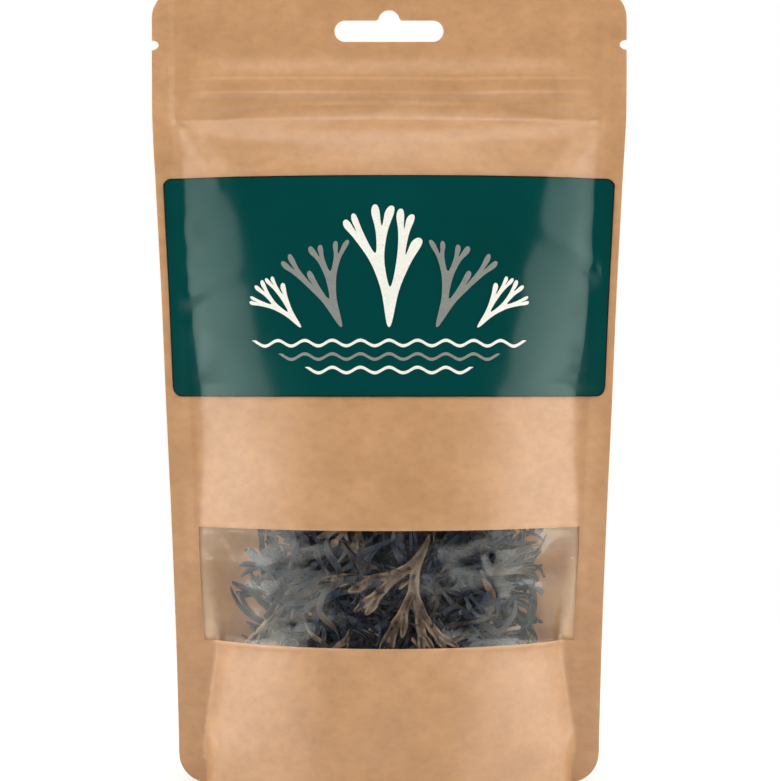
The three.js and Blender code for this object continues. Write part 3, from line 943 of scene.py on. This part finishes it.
def makeLabel():
    half, bottom, top, rim = label["half"], label["bottom"], label["top"], label["rim"]
    wide, close = label["lines"], label["rimLines"]
    us = mirroredLines(((0, wide), (half - rim, close), (half, None)))
    zs = spacedLines(((bottom, close), (bottom + rim, wide), (top - rim, close), (top, None)))
    sheet, u, z = sheetGrid("label_sheet", us, zs, lambda u, z: onPanel(u, z, labelLift))
    # the distance from the outline, from which the label's material paints its dark ring of painted shade
    # along the rim
    paintVertices(sheet, "fromRim", distanceInside(u, z))
    addMaterials(sheet, labelGreen)
    giveThickness(sheet, label["thickness"])
    corners = []
    for side in (-1, 1):
        for cornerZ, up in ((bottom, -1), (top, 1)):
            x = float(onPanel(np.array(side * half), np.array(cornerZ), labelLift)[0]) / mm
            corners.append(offcut(x, cornerZ, label["corner"], up))
    cutWith(sheet, corners)
    smoothShade(sheet, 35)
    return sheet


labelSheet = makeLabel()
finishPiece(labelSheet, "label_vinyl", "front_label")
print("label made")


# Fronds


def draw(n):
    # a number from 0 to 1 that looks random and depends only on n
    wide = math.sin(n * 127.1 + 311.7) * 43758.5453
    return wide - math.floor(wide)


growth = {
    "lengths": (8, 9, 8, 7, 6.4),
    "forkAngles": (27, 18, 12.5, 10),
    "endWidths": (3.1, 3.4, 3.2, 2.8, 2.1),
    "stalkHalf": 0.7,
    "earlyTips": 0.25,
    "branchGap": 0.5,
    # how much the draws change an angle, in degrees, and the others as a share of themselves
    "varyAngle": 7,
    "varyLength": 0.22,
    "varyWidth": 0.18,
    "varyFork": 0.12,
    # how far the tip's sides stop short of it, as a share of its length
    "tipBack": 0.38,
    # how far the tip is off the middle, and how deep a fork is, as shares of the half width
    "tipAside": 0.3,
    "crotchUp": 0.3,
}
lastLevel = len(growth["lengths"]) - 1


def planFrond(seed, firstLevel):
    # the same stalk and forks as the solid: a tree of segments, each with its own two sides and its fork
    counter = [0]

    def vary(share):
        counter[0] += 1
        return 1 + share * (2 * draw(seed * 37.3 + counter[0] - 1) - 1)

    def segment(left, right, angle, level):
        turned = angle + growth["varyAngle"] * (vary(1) - 1)
        heading = math.radians(turned)
        along = np.array([-math.sin(heading), math.cos(heading)])
        across = np.array([along[1], -along[0]])
        length = growth["lengths"][level] * vary(growth["varyLength"])
        half = growth["endWidths"][level] / 2 * vary(growth["varyWidth"])
        isTip = level == lastLevel
        if level == lastLevel - 1:
            counter[0] += 1
            isTip = draw(seed * 11.9 + counter[0] - 1) < growth["earlyTips"]
        end = (left + right) / 2 + along * length
        if isTip:
            start = end - growth["tipBack"] * length * along
            sides = (start - across * half, start + across * half)
            tip = end + growth["tipAside"] * half * across
            return {"from": (left, right), "to": sides, "tip": tip, "children": ()}
        sides = (end - across * half, end + across * half)
        crotch = end + growth["crotchUp"] * half * along
        spread = growth["forkAngles"][level] * vary(growth["varyFork"])
        children = (
            segment(sides[0], crotch, turned + spread, level + 1),
            segment(crotch, sides[1], turned - spread, level + 1),
        )
        return {"from": (left, right), "to": sides, "crotch": crotch, "children": children}

    stalk = growth["stalkHalf"]
    return segment(np.array([-stalk, 0.0]), np.array([stalk, 0.0]), 0, firstLevel)


def frondRim(segment):
    # the rim from the left side of the segment's foot, round its branches, to the right side
    left, right = segment["to"]
    if not segment["children"]:
        return [left, segment["tip"], right]
    first, second = segment["children"]
    return [left, *frondRim(first), segment["crotch"], *frondRim(second), right]


def branchesMeet(plan, gap):
    rim = np.array([plan["from"][0], *frondRim(plan), plan["from"][1]])
    count = len(rim)
    start, end = rim, np.roll(rim, -1, axis=0)
    run = end - start
    for n, point in enumerate(rim):
        t = np.clip(((point - start) * run).sum(1) / (run**2).sum(1), 0, 1)
        away = np.linalg.norm(point - start - t[:, None] * run, axis=1)
        near = {(n + step) % count for step in (-2, -1, 0, 1)}
        away[list(near)] = gap
        if (away < gap).any():
            return True
    return False


def chooseFrond(serial, firstLevel):
    seed = serial
    while branchesMeet(planFrond(seed, firstLevel), growth["branchGap"]):
        seed += 100
    return planFrond(seed, firstLevel)


def pickEdge(obj, first, second):
    # selects only the edge between two vertices of the mesh that is being edited
    bpy.ops.mesh.select_all(action="DESELECT")
    mesh = bmesh.from_edit_mesh(obj.data)
    mesh.verts.ensure_lookup_table()
    mesh.edges.get((mesh.verts[first], mesh.verts[second])).select = True
    return mesh


def extrudeEdge(obj, first, second, places):
    # draws that edge out to two new places, and gives the new vertices
    mesh = pickEdge(obj, first, second)
    start = mesh.verts[first].co.copy()
    bpy.ops.mesh.extrude_region()
    mesh = bmesh.from_edit_mesh(obj.data)
    mesh.verts.index_update()
    drawn = sorted((v for v in mesh.verts if v.select), key=lambda v: (v.co - start).length)
    for vert, place in zip(drawn, places):
        vert.co = (place[0], place[1], 0)
    return [v.index for v in drawn]


def splitEdge(obj, first, second, place):
    mesh = pickEdge(obj, first, second)
    known = len(mesh.verts)
    bpy.ops.mesh.subdivide(number_cuts=1, ngon=True)
    mesh = bmesh.from_edit_mesh(obj.data)
    mesh.verts.ensure_lookup_table()
    mesh.verts[known].co = (place[0], place[1], 0)
    return known


def modelFrond(plan, name, waist, tipShape, longer=0.0):
    # the stalk is a plane, and every branch is drawn out of the edge that it grows from
    bpy.ops.mesh.primitive_plane_add(size=2)
    frond = bpy.context.object
    frond.name = name
    frond.data.name = name
    foot = [(x, y - longer, 0) for x, y in plan["from"]]
    placeVertices(frond, [*foot, (*plan["to"][0], 0), (*plan["to"][1], 0)])
    bpy.ops.object.mode_set(mode="EDIT")
    bpy.ops.mesh.select_mode(type="VERT")

    def grow(segment, first, second):
        (left, right), ends = segment["from"], segment["to"]
        middle = [0.45 * a + 0.55 * b for a, b in zip((left, right), ends)]
        centre = (middle[0] + middle[1]) / 2
        middle = [centre + waist * (m - centre) for m in middle]
        first, second = extrudeEdge(frond, first, second, middle)
        first, second = extrudeEdge(frond, first, second, ends)
        if segment["children"]:
            fork(segment, first, second)
            return
        tip, centre = segment["tip"], (ends[0] + ends[1]) / 2
        last = [centre + tipShape[0] * (tip - centre) + tipShape[1] * (end - centre) for end in ends]
        extrudeEdge(frond, first, second, last)

    def fork(segment, first, second):
        crotch = splitEdge(frond, first, second, segment["crotch"])
        grow(segment["children"][0], first, crotch)
        grow(segment["children"][1], crotch, second)

    fork(plan, 2, 3)
    bpy.ops.object.mode_set(mode="OBJECT")
    return frond


def rimDistance(obj, rings=3):
    # how many edges each vertex is from the rim, up to a few
    edges = np.empty(len(obj.data.edges) * 2, int)
    obj.data.edges.foreach_get("vertices", edges)
    edges = edges.reshape(-1, 2)
    mesh = bmesh.new()
    mesh.from_mesh(obj.data)
    away = np.array([0 if v.is_boundary else rings for v in mesh.verts])
    mesh.free()
    for ring in range(1, rings):
        for a, b in (edges.T, edges.T[::-1]):
            reached = b[(away[a] == ring - 1) & (away[b] > ring)]
            away[reached] = ring
    return away


filling = {
    "layers": 9,
    "reach": 0.86,
    "wallClearance": 1.3,
    "wave": 0.24,
    # circles that the fronds of a layer fill: x, z, radius
    "paired": ((-22.4, 50, 21.6), (22.2, 50.5, 21.6), (0, 92, 23.5)),
    "centred": ((0, 50.5, 22), (-33, 60, 10.6), (33, 59, 10.6), (-20.8, 93, 19.8), (20.6, 93.5, 19.8)),
    "smallRadius": 14,
    "frontHeading": math.radians(140),
    "slots": ("seaweed_dark", "seaweed_tan", "seaweed_dark", "seaweed_brown", "seaweed_dark"),
    "thickness": 0.5,
    "curl": ((1.2, 7.5), (0.6, 3.0), (0.3, 1.5)),
    "cup": 0.28,
    "clear": 1.5,  # from the panel's inner face to a frond's middle
    "waist": 0.8,
    "tipShape": (1.3, 0.24),  # how far the tip goes past its last pair of points, and its width there
    "shrink": 0.16,
    "leftEnd": -30.0,  # the fronds beyond it are smaller than the solids' circles
    "leftSize": 0.8,
    "swirl": 0.75,  # how far a frond's tips are swept round, in radians, at most
    # the frond in the middle behind the film
    "frontWaist": 1.45,
    "frontStalk": 6.0,
    "frontShift": (3.5, 3.0),
    "frontForward": 1.6,
    "frontSwirl": 0.2,
    "frontCurl": 1.5,
}


def halfRoom(x, z):
    angle = np.interp(z, heights, angles)
    radius = np.interp(z, heights, edges) / angle
    depth = np.sqrt(np.maximum(radius**2 - x**2, 0)) - radius * np.cos(angle)
    return np.maximum(depth - filling["wallClearance"], 0)


def layerDepth(layer, x, z):
    room = halfRoom(x, z)
    calm = smooth((room - 4) / 12)
    wave = 0.55 * np.sin(2 * math.pi * (0.9 * x + 0.45 * z) / 58 + 0.6)
    wave += 0.45 * np.sin(2 * math.pi * (0.95 * z - 0.35 * x) / 47 + 2.1)
    return room * (layer + (1 - layer**2) * filling["wave"] * calm * wave)


def bendIntoLayer(frond, layer, place, serial):
    # turns the flat frond to its heading, scales it to its circle and lays it on its wavy layer
    isFront = serial == 1
    flat = vertexArray(frond)
    x, z, radius = place
    if isFront:
        x, z = x + filling["frontShift"][0], z + filling["frontShift"][1]
    heading = filling["frontHeading"] if isFront else 2 * math.pi * draw(serial * 3.7 + 5)
    middle = (flat[:, :2].min(0) + flat[:, :2].max(0)) / 2
    size = radius / np.linalg.norm(flat[:, :2] - middle, axis=1).max()
    if not isFront:
        size *= 1 - filling["shrink"] * draw(serial * 5.1)
    if x < filling["leftEnd"]:
        size *= filling["leftSize"]
    across, along = ((flat[:, :2] - middle) * size).T
    swirl = filling["frontSwirl"] if isFront else filling["swirl"] * (2 * draw(serial * 7.9) - 1)
    turn = heading + swirl * (np.hypot(across, along) / radius) ** 2
    px = x + across * np.cos(turn) - along * np.sin(turn)
    pz = z + across * np.sin(turn) + along * np.cos(turn)
    curl = sum(
        height * softNoise(px, pz, width, 50 + 3 * serial + n)
        for n, (height, width) in enumerate(filling["curl"])
    )
    cup = filling["cup"] * rimDistance(frond) * (1 if serial % 2 else -1)
    room = halfRoom(px, pz)
    curlShare = filling["frontCurl"] if isFront else 1.0
    py = layerDepth(layer, px, pz) + curlShare * (curl + cup) * np.clip(room / 8, 0.2, 1)
    if isFront:
        py -= filling["frontForward"]
    limit = room + filling["wallClearance"] - filling["clear"]
    placeVertices(frond, np.stack([px, np.clip(py, -limit, limit), pz], axis=-1) * mm)


def makeFronds():
    serial = 0
    for n in range(filling["layers"]):
        layer = filling["reach"] * (2 * n / (filling["layers"] - 1) - 1)
        for place in filling["paired"] if n % 2 else filling["centred"]:
            serial += 1
            plan = chooseFrond(serial, 2 if place[2] < filling["smallRadius"] else 0)
            name = f"moss_frond_{serial:02d}"
            waist = filling["frontWaist"] if serial == 1 else filling["waist"]
            longer = filling["frontStalk"] if serial == 1 else 0.0
            frond = modelFrond(plan, name, waist, filling["tipShape"], longer)
            applyModifier(frond, "SUBSURF", levels=2, render_levels=2)
            bendIntoLayer(frond, layer, place, serial)
            paintVertices(frond, "edge", np.clip(1 - rimDistance(frond) / 2, 0, 1))
            slot = filling["slots"][serial % len(filling["slots"])]
            addMaterials(frond, frondFinish[slot])
            giveThickness(frond, filling["thickness"], 0.0)
            smoothShade(frond, 60)
            finishPiece(frond, slot, f"frond_{serial:02d}")
    return serial


frondCount = makeFronds()
print(frondCount, "fronds made")


# Scraps: small curled pieces of frond that fill the space behind the window

scraps = {
    "seed": 20,
    "strips": 12,
    "stripRows": 16,
    "forks": 4,
    # how many, how far behind the film, how large
    "layers": ((240, (9.0, 17.0), (1.1, 1.7)), (560, (1.9, 10.0), (0.65, 1.15))),
    "middleX": 2.5,
    "spreadX": 18.0,
    "halfX": 37.5,
    "ragged": 5.0,
    "spanZ": (31.0, 77.0),
    "slots": (("seaweed_dark", 0.82), ("seaweed_brown", 0.13), ("seaweed_tan", 0.05)),
    "thickness": 0.38,
    # the front frond stays in view: a line along it, how near the line scraps are held back and how far
    "heldBack": ((-2.0, 41.0), (16.0, 67.0), 12.5, 6.5),
}


def stripMaster(n, rng):
    # a narrow strip that winds in its own plane
    rows = scraps["stripRows"]
    bpy.ops.mesh.primitive_grid_add(x_subdivisions=2, y_subdivisions=rows, size=1)
    strip = bpy.context.object
    flat = vertexArray(strip)
    along, across = flat[:, 1] + 0.5, flat[:, 0] * 2
    length, half = rng.uniform(12, 24), rng.uniform(0.42, 0.85)
    profile = 0.35 + 0.75 * np.sin(math.pi * np.clip(along * 0.94 + 0.04, 0, 1))
    profile += 0.25 * np.sin(11 * along + n)
    steps = np.linspace(0, 1, rows + 1)
    turns = rng.choice((-1, 1)) * rng.uniform(0.6, 3.0) * (steps - 0.5)
    turns += rng.uniform(0.2, 0.9) * np.sin(7 * steps + n)

    def middleLine(part):
        # how far the line has come along X or Y, from the sine or cosine of its heading
        travelled = np.concatenate([[0], np.cumsum(part(turns[:-1]))]) / rows
        return length * np.interp(along, steps, travelled)

    lineX, lineY = middleLine(np.sin), middleLine(np.cos)
    turn = np.interp(along, steps, turns)
    spread = half * across * profile
    fold = rng.uniform(-0.7, 0.7) * np.abs(spread)
    places = np.stack([lineX + spread * np.cos(turn), lineY - spread * np.sin(turn), fold], axis=-1)
    placeVertices(strip, places - places.mean(0))
    paintVertices(strip, "edge", np.abs(across))
    return strip


def forkMaster(n):
    fork = modelFrond(chooseFrond(60 + n, 2), "fork", 0.6, filling["tipShape"])
    flat = vertexArray(fork)
    flat[:, :2] -= (flat[:, :2].min(0) + flat[:, :2].max(0)) / 2
    placeVertices(fork, flat * 0.8)
    paintVertices(fork, "edge", np.full(len(flat), 0.6))
    return fork


def curlShape(flat, rng):
    # rolls the flat shape along one line in it and twists it along the other
    aim = rng.uniform(0, 2 * math.pi)
    a = flat[:, 0] * math.cos(aim) + flat[:, 1] * math.sin(aim)
    b = flat[:, 1] * math.cos(aim) - flat[:, 0] * math.sin(aim)
    roll = rng.choice((-1, 1)) * rng.uniform(0.06, 0.26)
    twist = rng.uniform(-0.14, 0.14)
    rolledA, rise = np.sin(roll * a) / roll, (1 - np.cos(roll * a)) / roll
    lifted = rise * np.cos(twist * a) + b * np.sin(twist * a)
    sideways = b * np.cos(twist * a) - rise * np.sin(twist * a)
    return np.stack([rolledA, sideways, lifted - lifted.mean()], axis=-1)


def scatterOne(flat, depths, rng):
    # turns a piece, sets it down behind the film and keeps it off the walls
    (x0, z0), (x1, z1), near, heldDepth = scraps["heldBack"]
    a, b, c = flat.T
    x, z = rng.gauss(0, scraps["spreadX"]), rng.uniform(*scraps["spanZ"])
    x = scraps["middleX"] + max(-scraps["halfX"], min(scraps["halfX"], x))
    spin = rng.uniform(0, 2 * math.pi)
    px = x + a * math.cos(spin) - b * math.sin(spin)
    pz = z + a * math.sin(spin) + b * math.cos(spin)
    fromMiddle = px - scraps["middleX"]
    border = scraps["halfX"] + scraps["ragged"] * softNoise(np.sign(fromMiddle) * 9, pz, 6, 91)
    pull = rng.uniform(0.78, 1.08) / (np.abs(fromMiddle) / border).max()
    px = scraps["middleX"] + fromMiddle * min(1.0, pull)
    behind = depths[0] + (depths[1] - depths[0]) * rng.random() ** 1.4
    t = ((x - x0) * (x1 - x0) + (z - z0) * (z1 - z0)) / ((x1 - x0) ** 2 + (z1 - z0) ** 2)
    t = max(0.0, min(1.0, t))
    if math.hypot(x - x0 - t * (x1 - x0), z - z0 - t * (z1 - z0)) < near:
        behind = max(behind, heldDepth)
    wall = halfRoom(px, pz) + filling["wallClearance"]
    inFront = halfRoom(np.array(x), np.array(z)) + filling["wallClearance"] - behind
    py = np.clip(c - inFront, filling["clear"] - wall, wall - filling["clear"])
    return np.stack([px, py, pz], axis=-1) * mm


def scatterScraps():
    rng = random.Random(scraps["seed"])
    masters = [stripMaster(n, rng) for n in range(scraps["strips"])]
    masters += [forkMaster(n) for n in range(scraps["forks"])]
    shapes = [vertexArray(master) for master in masters]
    piles = {slot: [] for slot, _ in scraps["slots"]}
    for count, depths, sizes in scraps["layers"]:
        for _ in range(count):
            pick = rng.randrange(len(masters))
            flat = curlShape(shapes[pick], rng) * rng.uniform(*sizes)
            copy = masters[pick].copy()
            copy.data = masters[pick].data.copy()
            bpy.context.collection.objects.link(copy)
            placeVertices(copy, scatterOne(flat, depths, rng))
            chance = rng.random()
            for slot, share in scraps["slots"]:
                chance -= share
                if chance < 0:
                    break
            piles[slot].append(copy)
    for master in masters:
        bpy.data.objects.remove(master)
    for slot, pieces in piles.items():
        pile = joinPieces(pieces, "moss_scraps_" + slot.split("_")[1])
        addMaterials(pile, frondFinish[slot])
        giveThickness(pile, scraps["thickness"], 0.0, even=False)
        smoothShade(pile, 60)
        finishPiece(pile, slot)


scatterScraps()
print("scraps made")


# Print on the label: sprigs of seaweed over waves

ornament = {
    "tipShape": (0.75, 0.62),
    "lift": 0.05,
    "thickness": 0.05,
    "sprigs": (
        # u, z of the foot, height, lean in degrees, seed, ink: the ones beside the middle are on both sides
        (0.0, 124.0, 33.0, 0, 8, "pale"),
        (-12.5, 124.0, 24.0, 27, 5, "grey"),
        (-23.5, 124.0, 17.0, 42, 8, "pale"),
    ),
    "waves": ((119.8, 37.5, "pale"), (116.2, 30.0, "grey"), (112.6, 22.5, "pale")),
    "waveHeight": 0.75,
    "waveLength": 7.5,
    "lineHalf": 0.42,
}


def layOnLabel(obj):
    flat = vertexArray(obj)
    placeVertices(obj, onPanel(flat[:, 0], flat[:, 1], labelLift + ornament["lift"] + ornament["thickness"]))
    giveThickness(obj, ornament["thickness"])


def printedSprig(u, z, height, lean, seed, side):
    sprig = modelFrond(chooseFrond(seed, 1), "printed_sprig", 0.9, ornament["tipShape"])
    applyModifier(sprig, "SUBSURF", levels=2, render_levels=2)
    flat = vertexArray(sprig)[:, :2]
    flat[:, 1] -= flat[:, 1].min()
    flat *= height / flat[:, 1].max()
    turn = math.radians(lean)
    a, b = flat.T
    across = u + a * math.cos(turn) - b * math.sin(turn)
    up = z + a * math.sin(turn) + b * math.cos(turn)
    placeVertices(sprig, np.stack([side * across, up, 0 * a], axis=-1))
    if side < 0:
        bpy.ops.object.mode_set(mode="EDIT")
        bpy.ops.mesh.select_all(action="SELECT")
        bpy.ops.mesh.flip_normals()
        bpy.ops.object.mode_set(mode="OBJECT")
    layOnLabel(sprig)
    return sprig


def printedWave(n, z, half):
    us = np.linspace(-half, half, round(2 * half / 0.6) + 1)
    line = np.array([-1.0, 0.0, 1.0])

    def place(u, side):
        rise = ornament["waveHeight"] * np.cos(2 * math.pi * u / ornament["waveLength"])
        ends = smooth((half - np.abs(u)) / 1.2)
        return np.stack([u, z + rise + side * ornament["lineHalf"] * ends, 0 * u], axis=-1)

    wave, _, _ = sheetGrid(f"printed_wave_{n}", us, line, place)
    layOnLabel(wave)
    return wave


def printOnLabel():
    inks = {"pale": [], "grey": []}
    for u, z, height, lean, seed, ink in ornament["sprigs"]:
        for side in (1, -1) if u else (1,):
            inks[ink].append(printedSprig(u, z, height, lean, seed, side))
    for n, (z, half, ink) in enumerate(ornament["waves"]):
        inks[ink].append(printedWave(n, z, half))
    for ink, pieces in inks.items():
        printed = joinPieces(pieces, "label_print_" + ink)
        addMaterials(printed, inkPale if ink == "pale" else inkGrey)
        smoothShade(printed, 40)
        finishPiece(printed, "label_vinyl")


printOnLabel()
print("label printed")


# Zip: two flanges inside the panels, crushed at their ends, with the bars that snap together

zipper = {
    "half": 56.0,
    "bottom": 181.0,
    "top": 192.7,
    "thickness": 0.35,
    "insideBy": 0.1,  # how far its outer face is inside the panel
    "barHalf": 50.0,
    "barSides": 12,
    "barY": 0.55,
    # for each strip: the side, and z and radius of its bars
    "strips": (
        ("zip_groove", "zip_groove_strip", front, ((188.3, 0.42), (185.9, 0.42))),
        ("zip_rib", "zip_rib_strip", back, ((187.1, 0.6),)),
    ),
}


def makeZipStrips():
    us = mirroredLines(((0, 2), (zipper["half"], None)))
    zs = spacedLines(((zipper["bottom"], 1.2), (zipper["top"], None)))
    for name, node, side, bars in zipper["strips"]:

        def place(u, z):
            depth = np.maximum(zipRoom(u, z) + paperRelief(u, z, side) - zipper["insideBy"], 0.02)
            return np.stack([u * -side, side * depth, z], axis=-1) * mm

        flange, _, _ = sheetGrid(name, us, zs, place)
        giveThickness(flange, zipper["thickness"])
        parts = [flange]
        for z, radius in bars:
            bpy.ops.mesh.primitive_cylinder_add(
                vertices=zipper["barSides"],
                radius=radius * mm,
                depth=2 * zipper["barHalf"] * mm,
                location=(0, side * zipper["barY"] * mm, z * mm),
                rotation=(0, math.pi / 2, 0),
            )
            bpy.ops.object.transform_apply()
            parts.append(bpy.context.object)
        strip = joinPieces(parts, name)
        addMaterials(strip, milkyZip)
        smoothShade(strip, 40)
        finishPiece(strip, "zip_plastic", node)


makeZipStrips()
print("zip made")


# Camera, light and floor

studio = {
    "imageHeight": 781,
    "mmPerPixel": 0.2737,  # at the middle plane of the pouch
    "middle": (0.27, 107.15),  # what the middle of the image shows, x and z
    "distance": 640.0,
    "sensor": 36.0,
    "lightDistance": 1000.0,
    # azimuth, elevation, height of the target, width, height, radiance
    "softboxes": (
        ("softbox_left", -74.5, 24.0, 120.0, 1150.0, 1250.0, 2.84),
        ("softbox_right", 74.5, 24.0, 120.0, 1150.0, 1250.0, 2.84),
        ("softbox_top", 0.0, 62.0, 120.0, 900.0, 500.0, 2.65),
        ("softbox_behind", 138.0, 35.0, 120.0, 600.0, 900.0, 2.2),
    ),
    "edgeGlow": 0.55,  # how bright they are at their left and right edges, where their mean is 1
    "frontFill": 0.05,
    "backFill": 1.0,
}


def addCamera():
    x, z = studio["middle"]
    place = (x * mm, -studio["distance"] * mm, z * mm)
    bpy.ops.object.camera_add(location=place, rotation=(math.pi / 2, 0, 0))
    camera = bpy.context.object
    camera.data.sensor_fit = "VERTICAL"
    camera.data.sensor_height = studio["sensor"]
    seenHeight = studio["imageHeight"] * studio["mmPerPixel"]
    camera.data.lens = studio["sensor"] * studio["distance"] / seenHeight
    camera.data.clip_start = 0.01
    bpy.context.scene.camera = camera


def fadeSoftbox(lamp):
    # brightest along its middle and dimmer towards its left and right edges, with the same mean
    lamp.use_nodes = True
    tree = lamp.node_tree
    where = addNode(tree, "ShaderNodeNewGeometry")
    parts = addNode(tree, "ShaderNodeSeparateXYZ")
    tree.links.new(where.outputs["Parametric"], parts.inputs[0])
    fromEdge = addNode(tree, "ShaderNodeMath", operation="PINGPONG")
    fromEdge.inputs[1].default_value = 0.5
    tree.links.new(parts.outputs["X"], fromEdge.inputs[0])
    glow = remap(tree, fromEdge.outputs[0], 0.0, 0.5, studio["edgeGlow"], 2 - studio["edgeGlow"])
    tree.links.new(glow, tree.nodes["Emission"].inputs["Strength"])


def addSoftbox(name, azimuth, elevation, targetZ, width, height, radiance):
    turn, rise = math.radians(azimuth), math.radians(elevation)
    away = studio["lightDistance"] * mm
    level = away * math.cos(rise)
    place = (level * math.sin(turn), -level * math.cos(turn), targetZ * mm + away * math.sin(rise))
    bpy.ops.object.light_add(type="AREA", location=place, rotation=(math.pi / 2 - rise, 0, turn))
    light = bpy.context.object
    light.name = name
    light.data.shape = "RECTANGLE"
    light.data.size, light.data.size_y = width * mm, height * mm
    light.data.energy = radiance * math.pi * width * mm * height * mm
    fadeSoftbox(light.data)


def floorMaterial():
    # white, and shining a little away from the pouch so that it runs into the background
    material, tree, shader = newMaterial("floorWhite")
    shader.inputs["Roughness"].default_value = 0.8
    shader.inputs["Specular IOR Level"].default_value = 0.1
    grain = addGrain(tree, 4.0, 60.0)
    white = mixColour(tree, grain.outputs["Patches"], (0.80, 0.80, 0.79), (0.83, 0.83, 0.82))
    tree.links.new(white, shader.inputs["Base Color"])
    where = addNode(tree, "ShaderNodeTexCoord")
    away = addNode(tree, "ShaderNodeVectorMath", operation="LENGTH")
    tree.links.new(where.outputs["Object"], away.inputs[0])
    path = addNode(tree, "ShaderNodeLightPath")
    seen = addNode(tree, "ShaderNodeMath", operation="MULTIPLY")
    tree.links.new(remap(tree, away.outputs["Value"], 0.05, 0.5, 0.0, 1.0), seen.inputs[0])
    tree.links.new(path.outputs["Is Camera Ray"], seen.inputs[1])
    shine = addNode(tree, "ShaderNodeEmission", Color=(1, 1, 1, 1), Strength=1.0)
    mix = addNode(tree, "ShaderNodeMixShader")
    tree.links.new(seen.outputs[0], mix.inputs[0])
    tree.links.new(shader.outputs[0], mix.inputs[1])
    tree.links.new(shine.outputs[0], mix.inputs[2])
    tree.links.new(mix.outputs[0], tree.nodes["Material Output"].inputs["Surface"])
    return material


def addFloor():
    bpy.ops.mesh.primitive_plane_add(size=12)
    floor = bpy.context.object
    floor.name = "floor"
    floor.data.materials.append(floorMaterial())


def setWorld():
    # white to the camera, bright behind the pouch and dim in front of it
    world = bpy.data.worlds.new("studio")
    bpy.context.scene.world = world
    world.use_nodes = True
    tree = world.node_tree
    shade = tree.nodes["Background"]
    shade.inputs["Color"].default_value = (1.0, 1.0, 1.0, 1.0)
    where = addNode(tree, "ShaderNodeTexCoord")
    parts = addNode(tree, "ShaderNodeSeparateXYZ")
    tree.links.new(where.outputs["Generated"], parts.inputs[0])
    strength = remap(tree, parts.outputs["Y"], -0.1, 0.5, studio["frontFill"], studio["backFill"])
    tree.links.new(strength, shade.inputs["Strength"])
    white = addNode(tree, "ShaderNodeBackground", Color=(1, 1, 1, 1), Strength=1.0)
    path = addNode(tree, "ShaderNodeLightPath")
    mix = addNode(tree, "ShaderNodeMixShader")
    tree.links.new(path.outputs["Is Camera Ray"], mix.inputs[0])
    tree.links.new(shade.outputs[0], mix.inputs[1])
    tree.links.new(white.outputs[0], mix.inputs[2])
    tree.links.new(mix.outputs[0], tree.nodes["World Output"].inputs["Surface"])


addCamera()
for softbox in studio["softboxes"]:
    addSoftbox(*softbox)
addFloor()
setWorld()
bpy.context.scene.view_settings.view_transform = "Standard"
print("studio set")
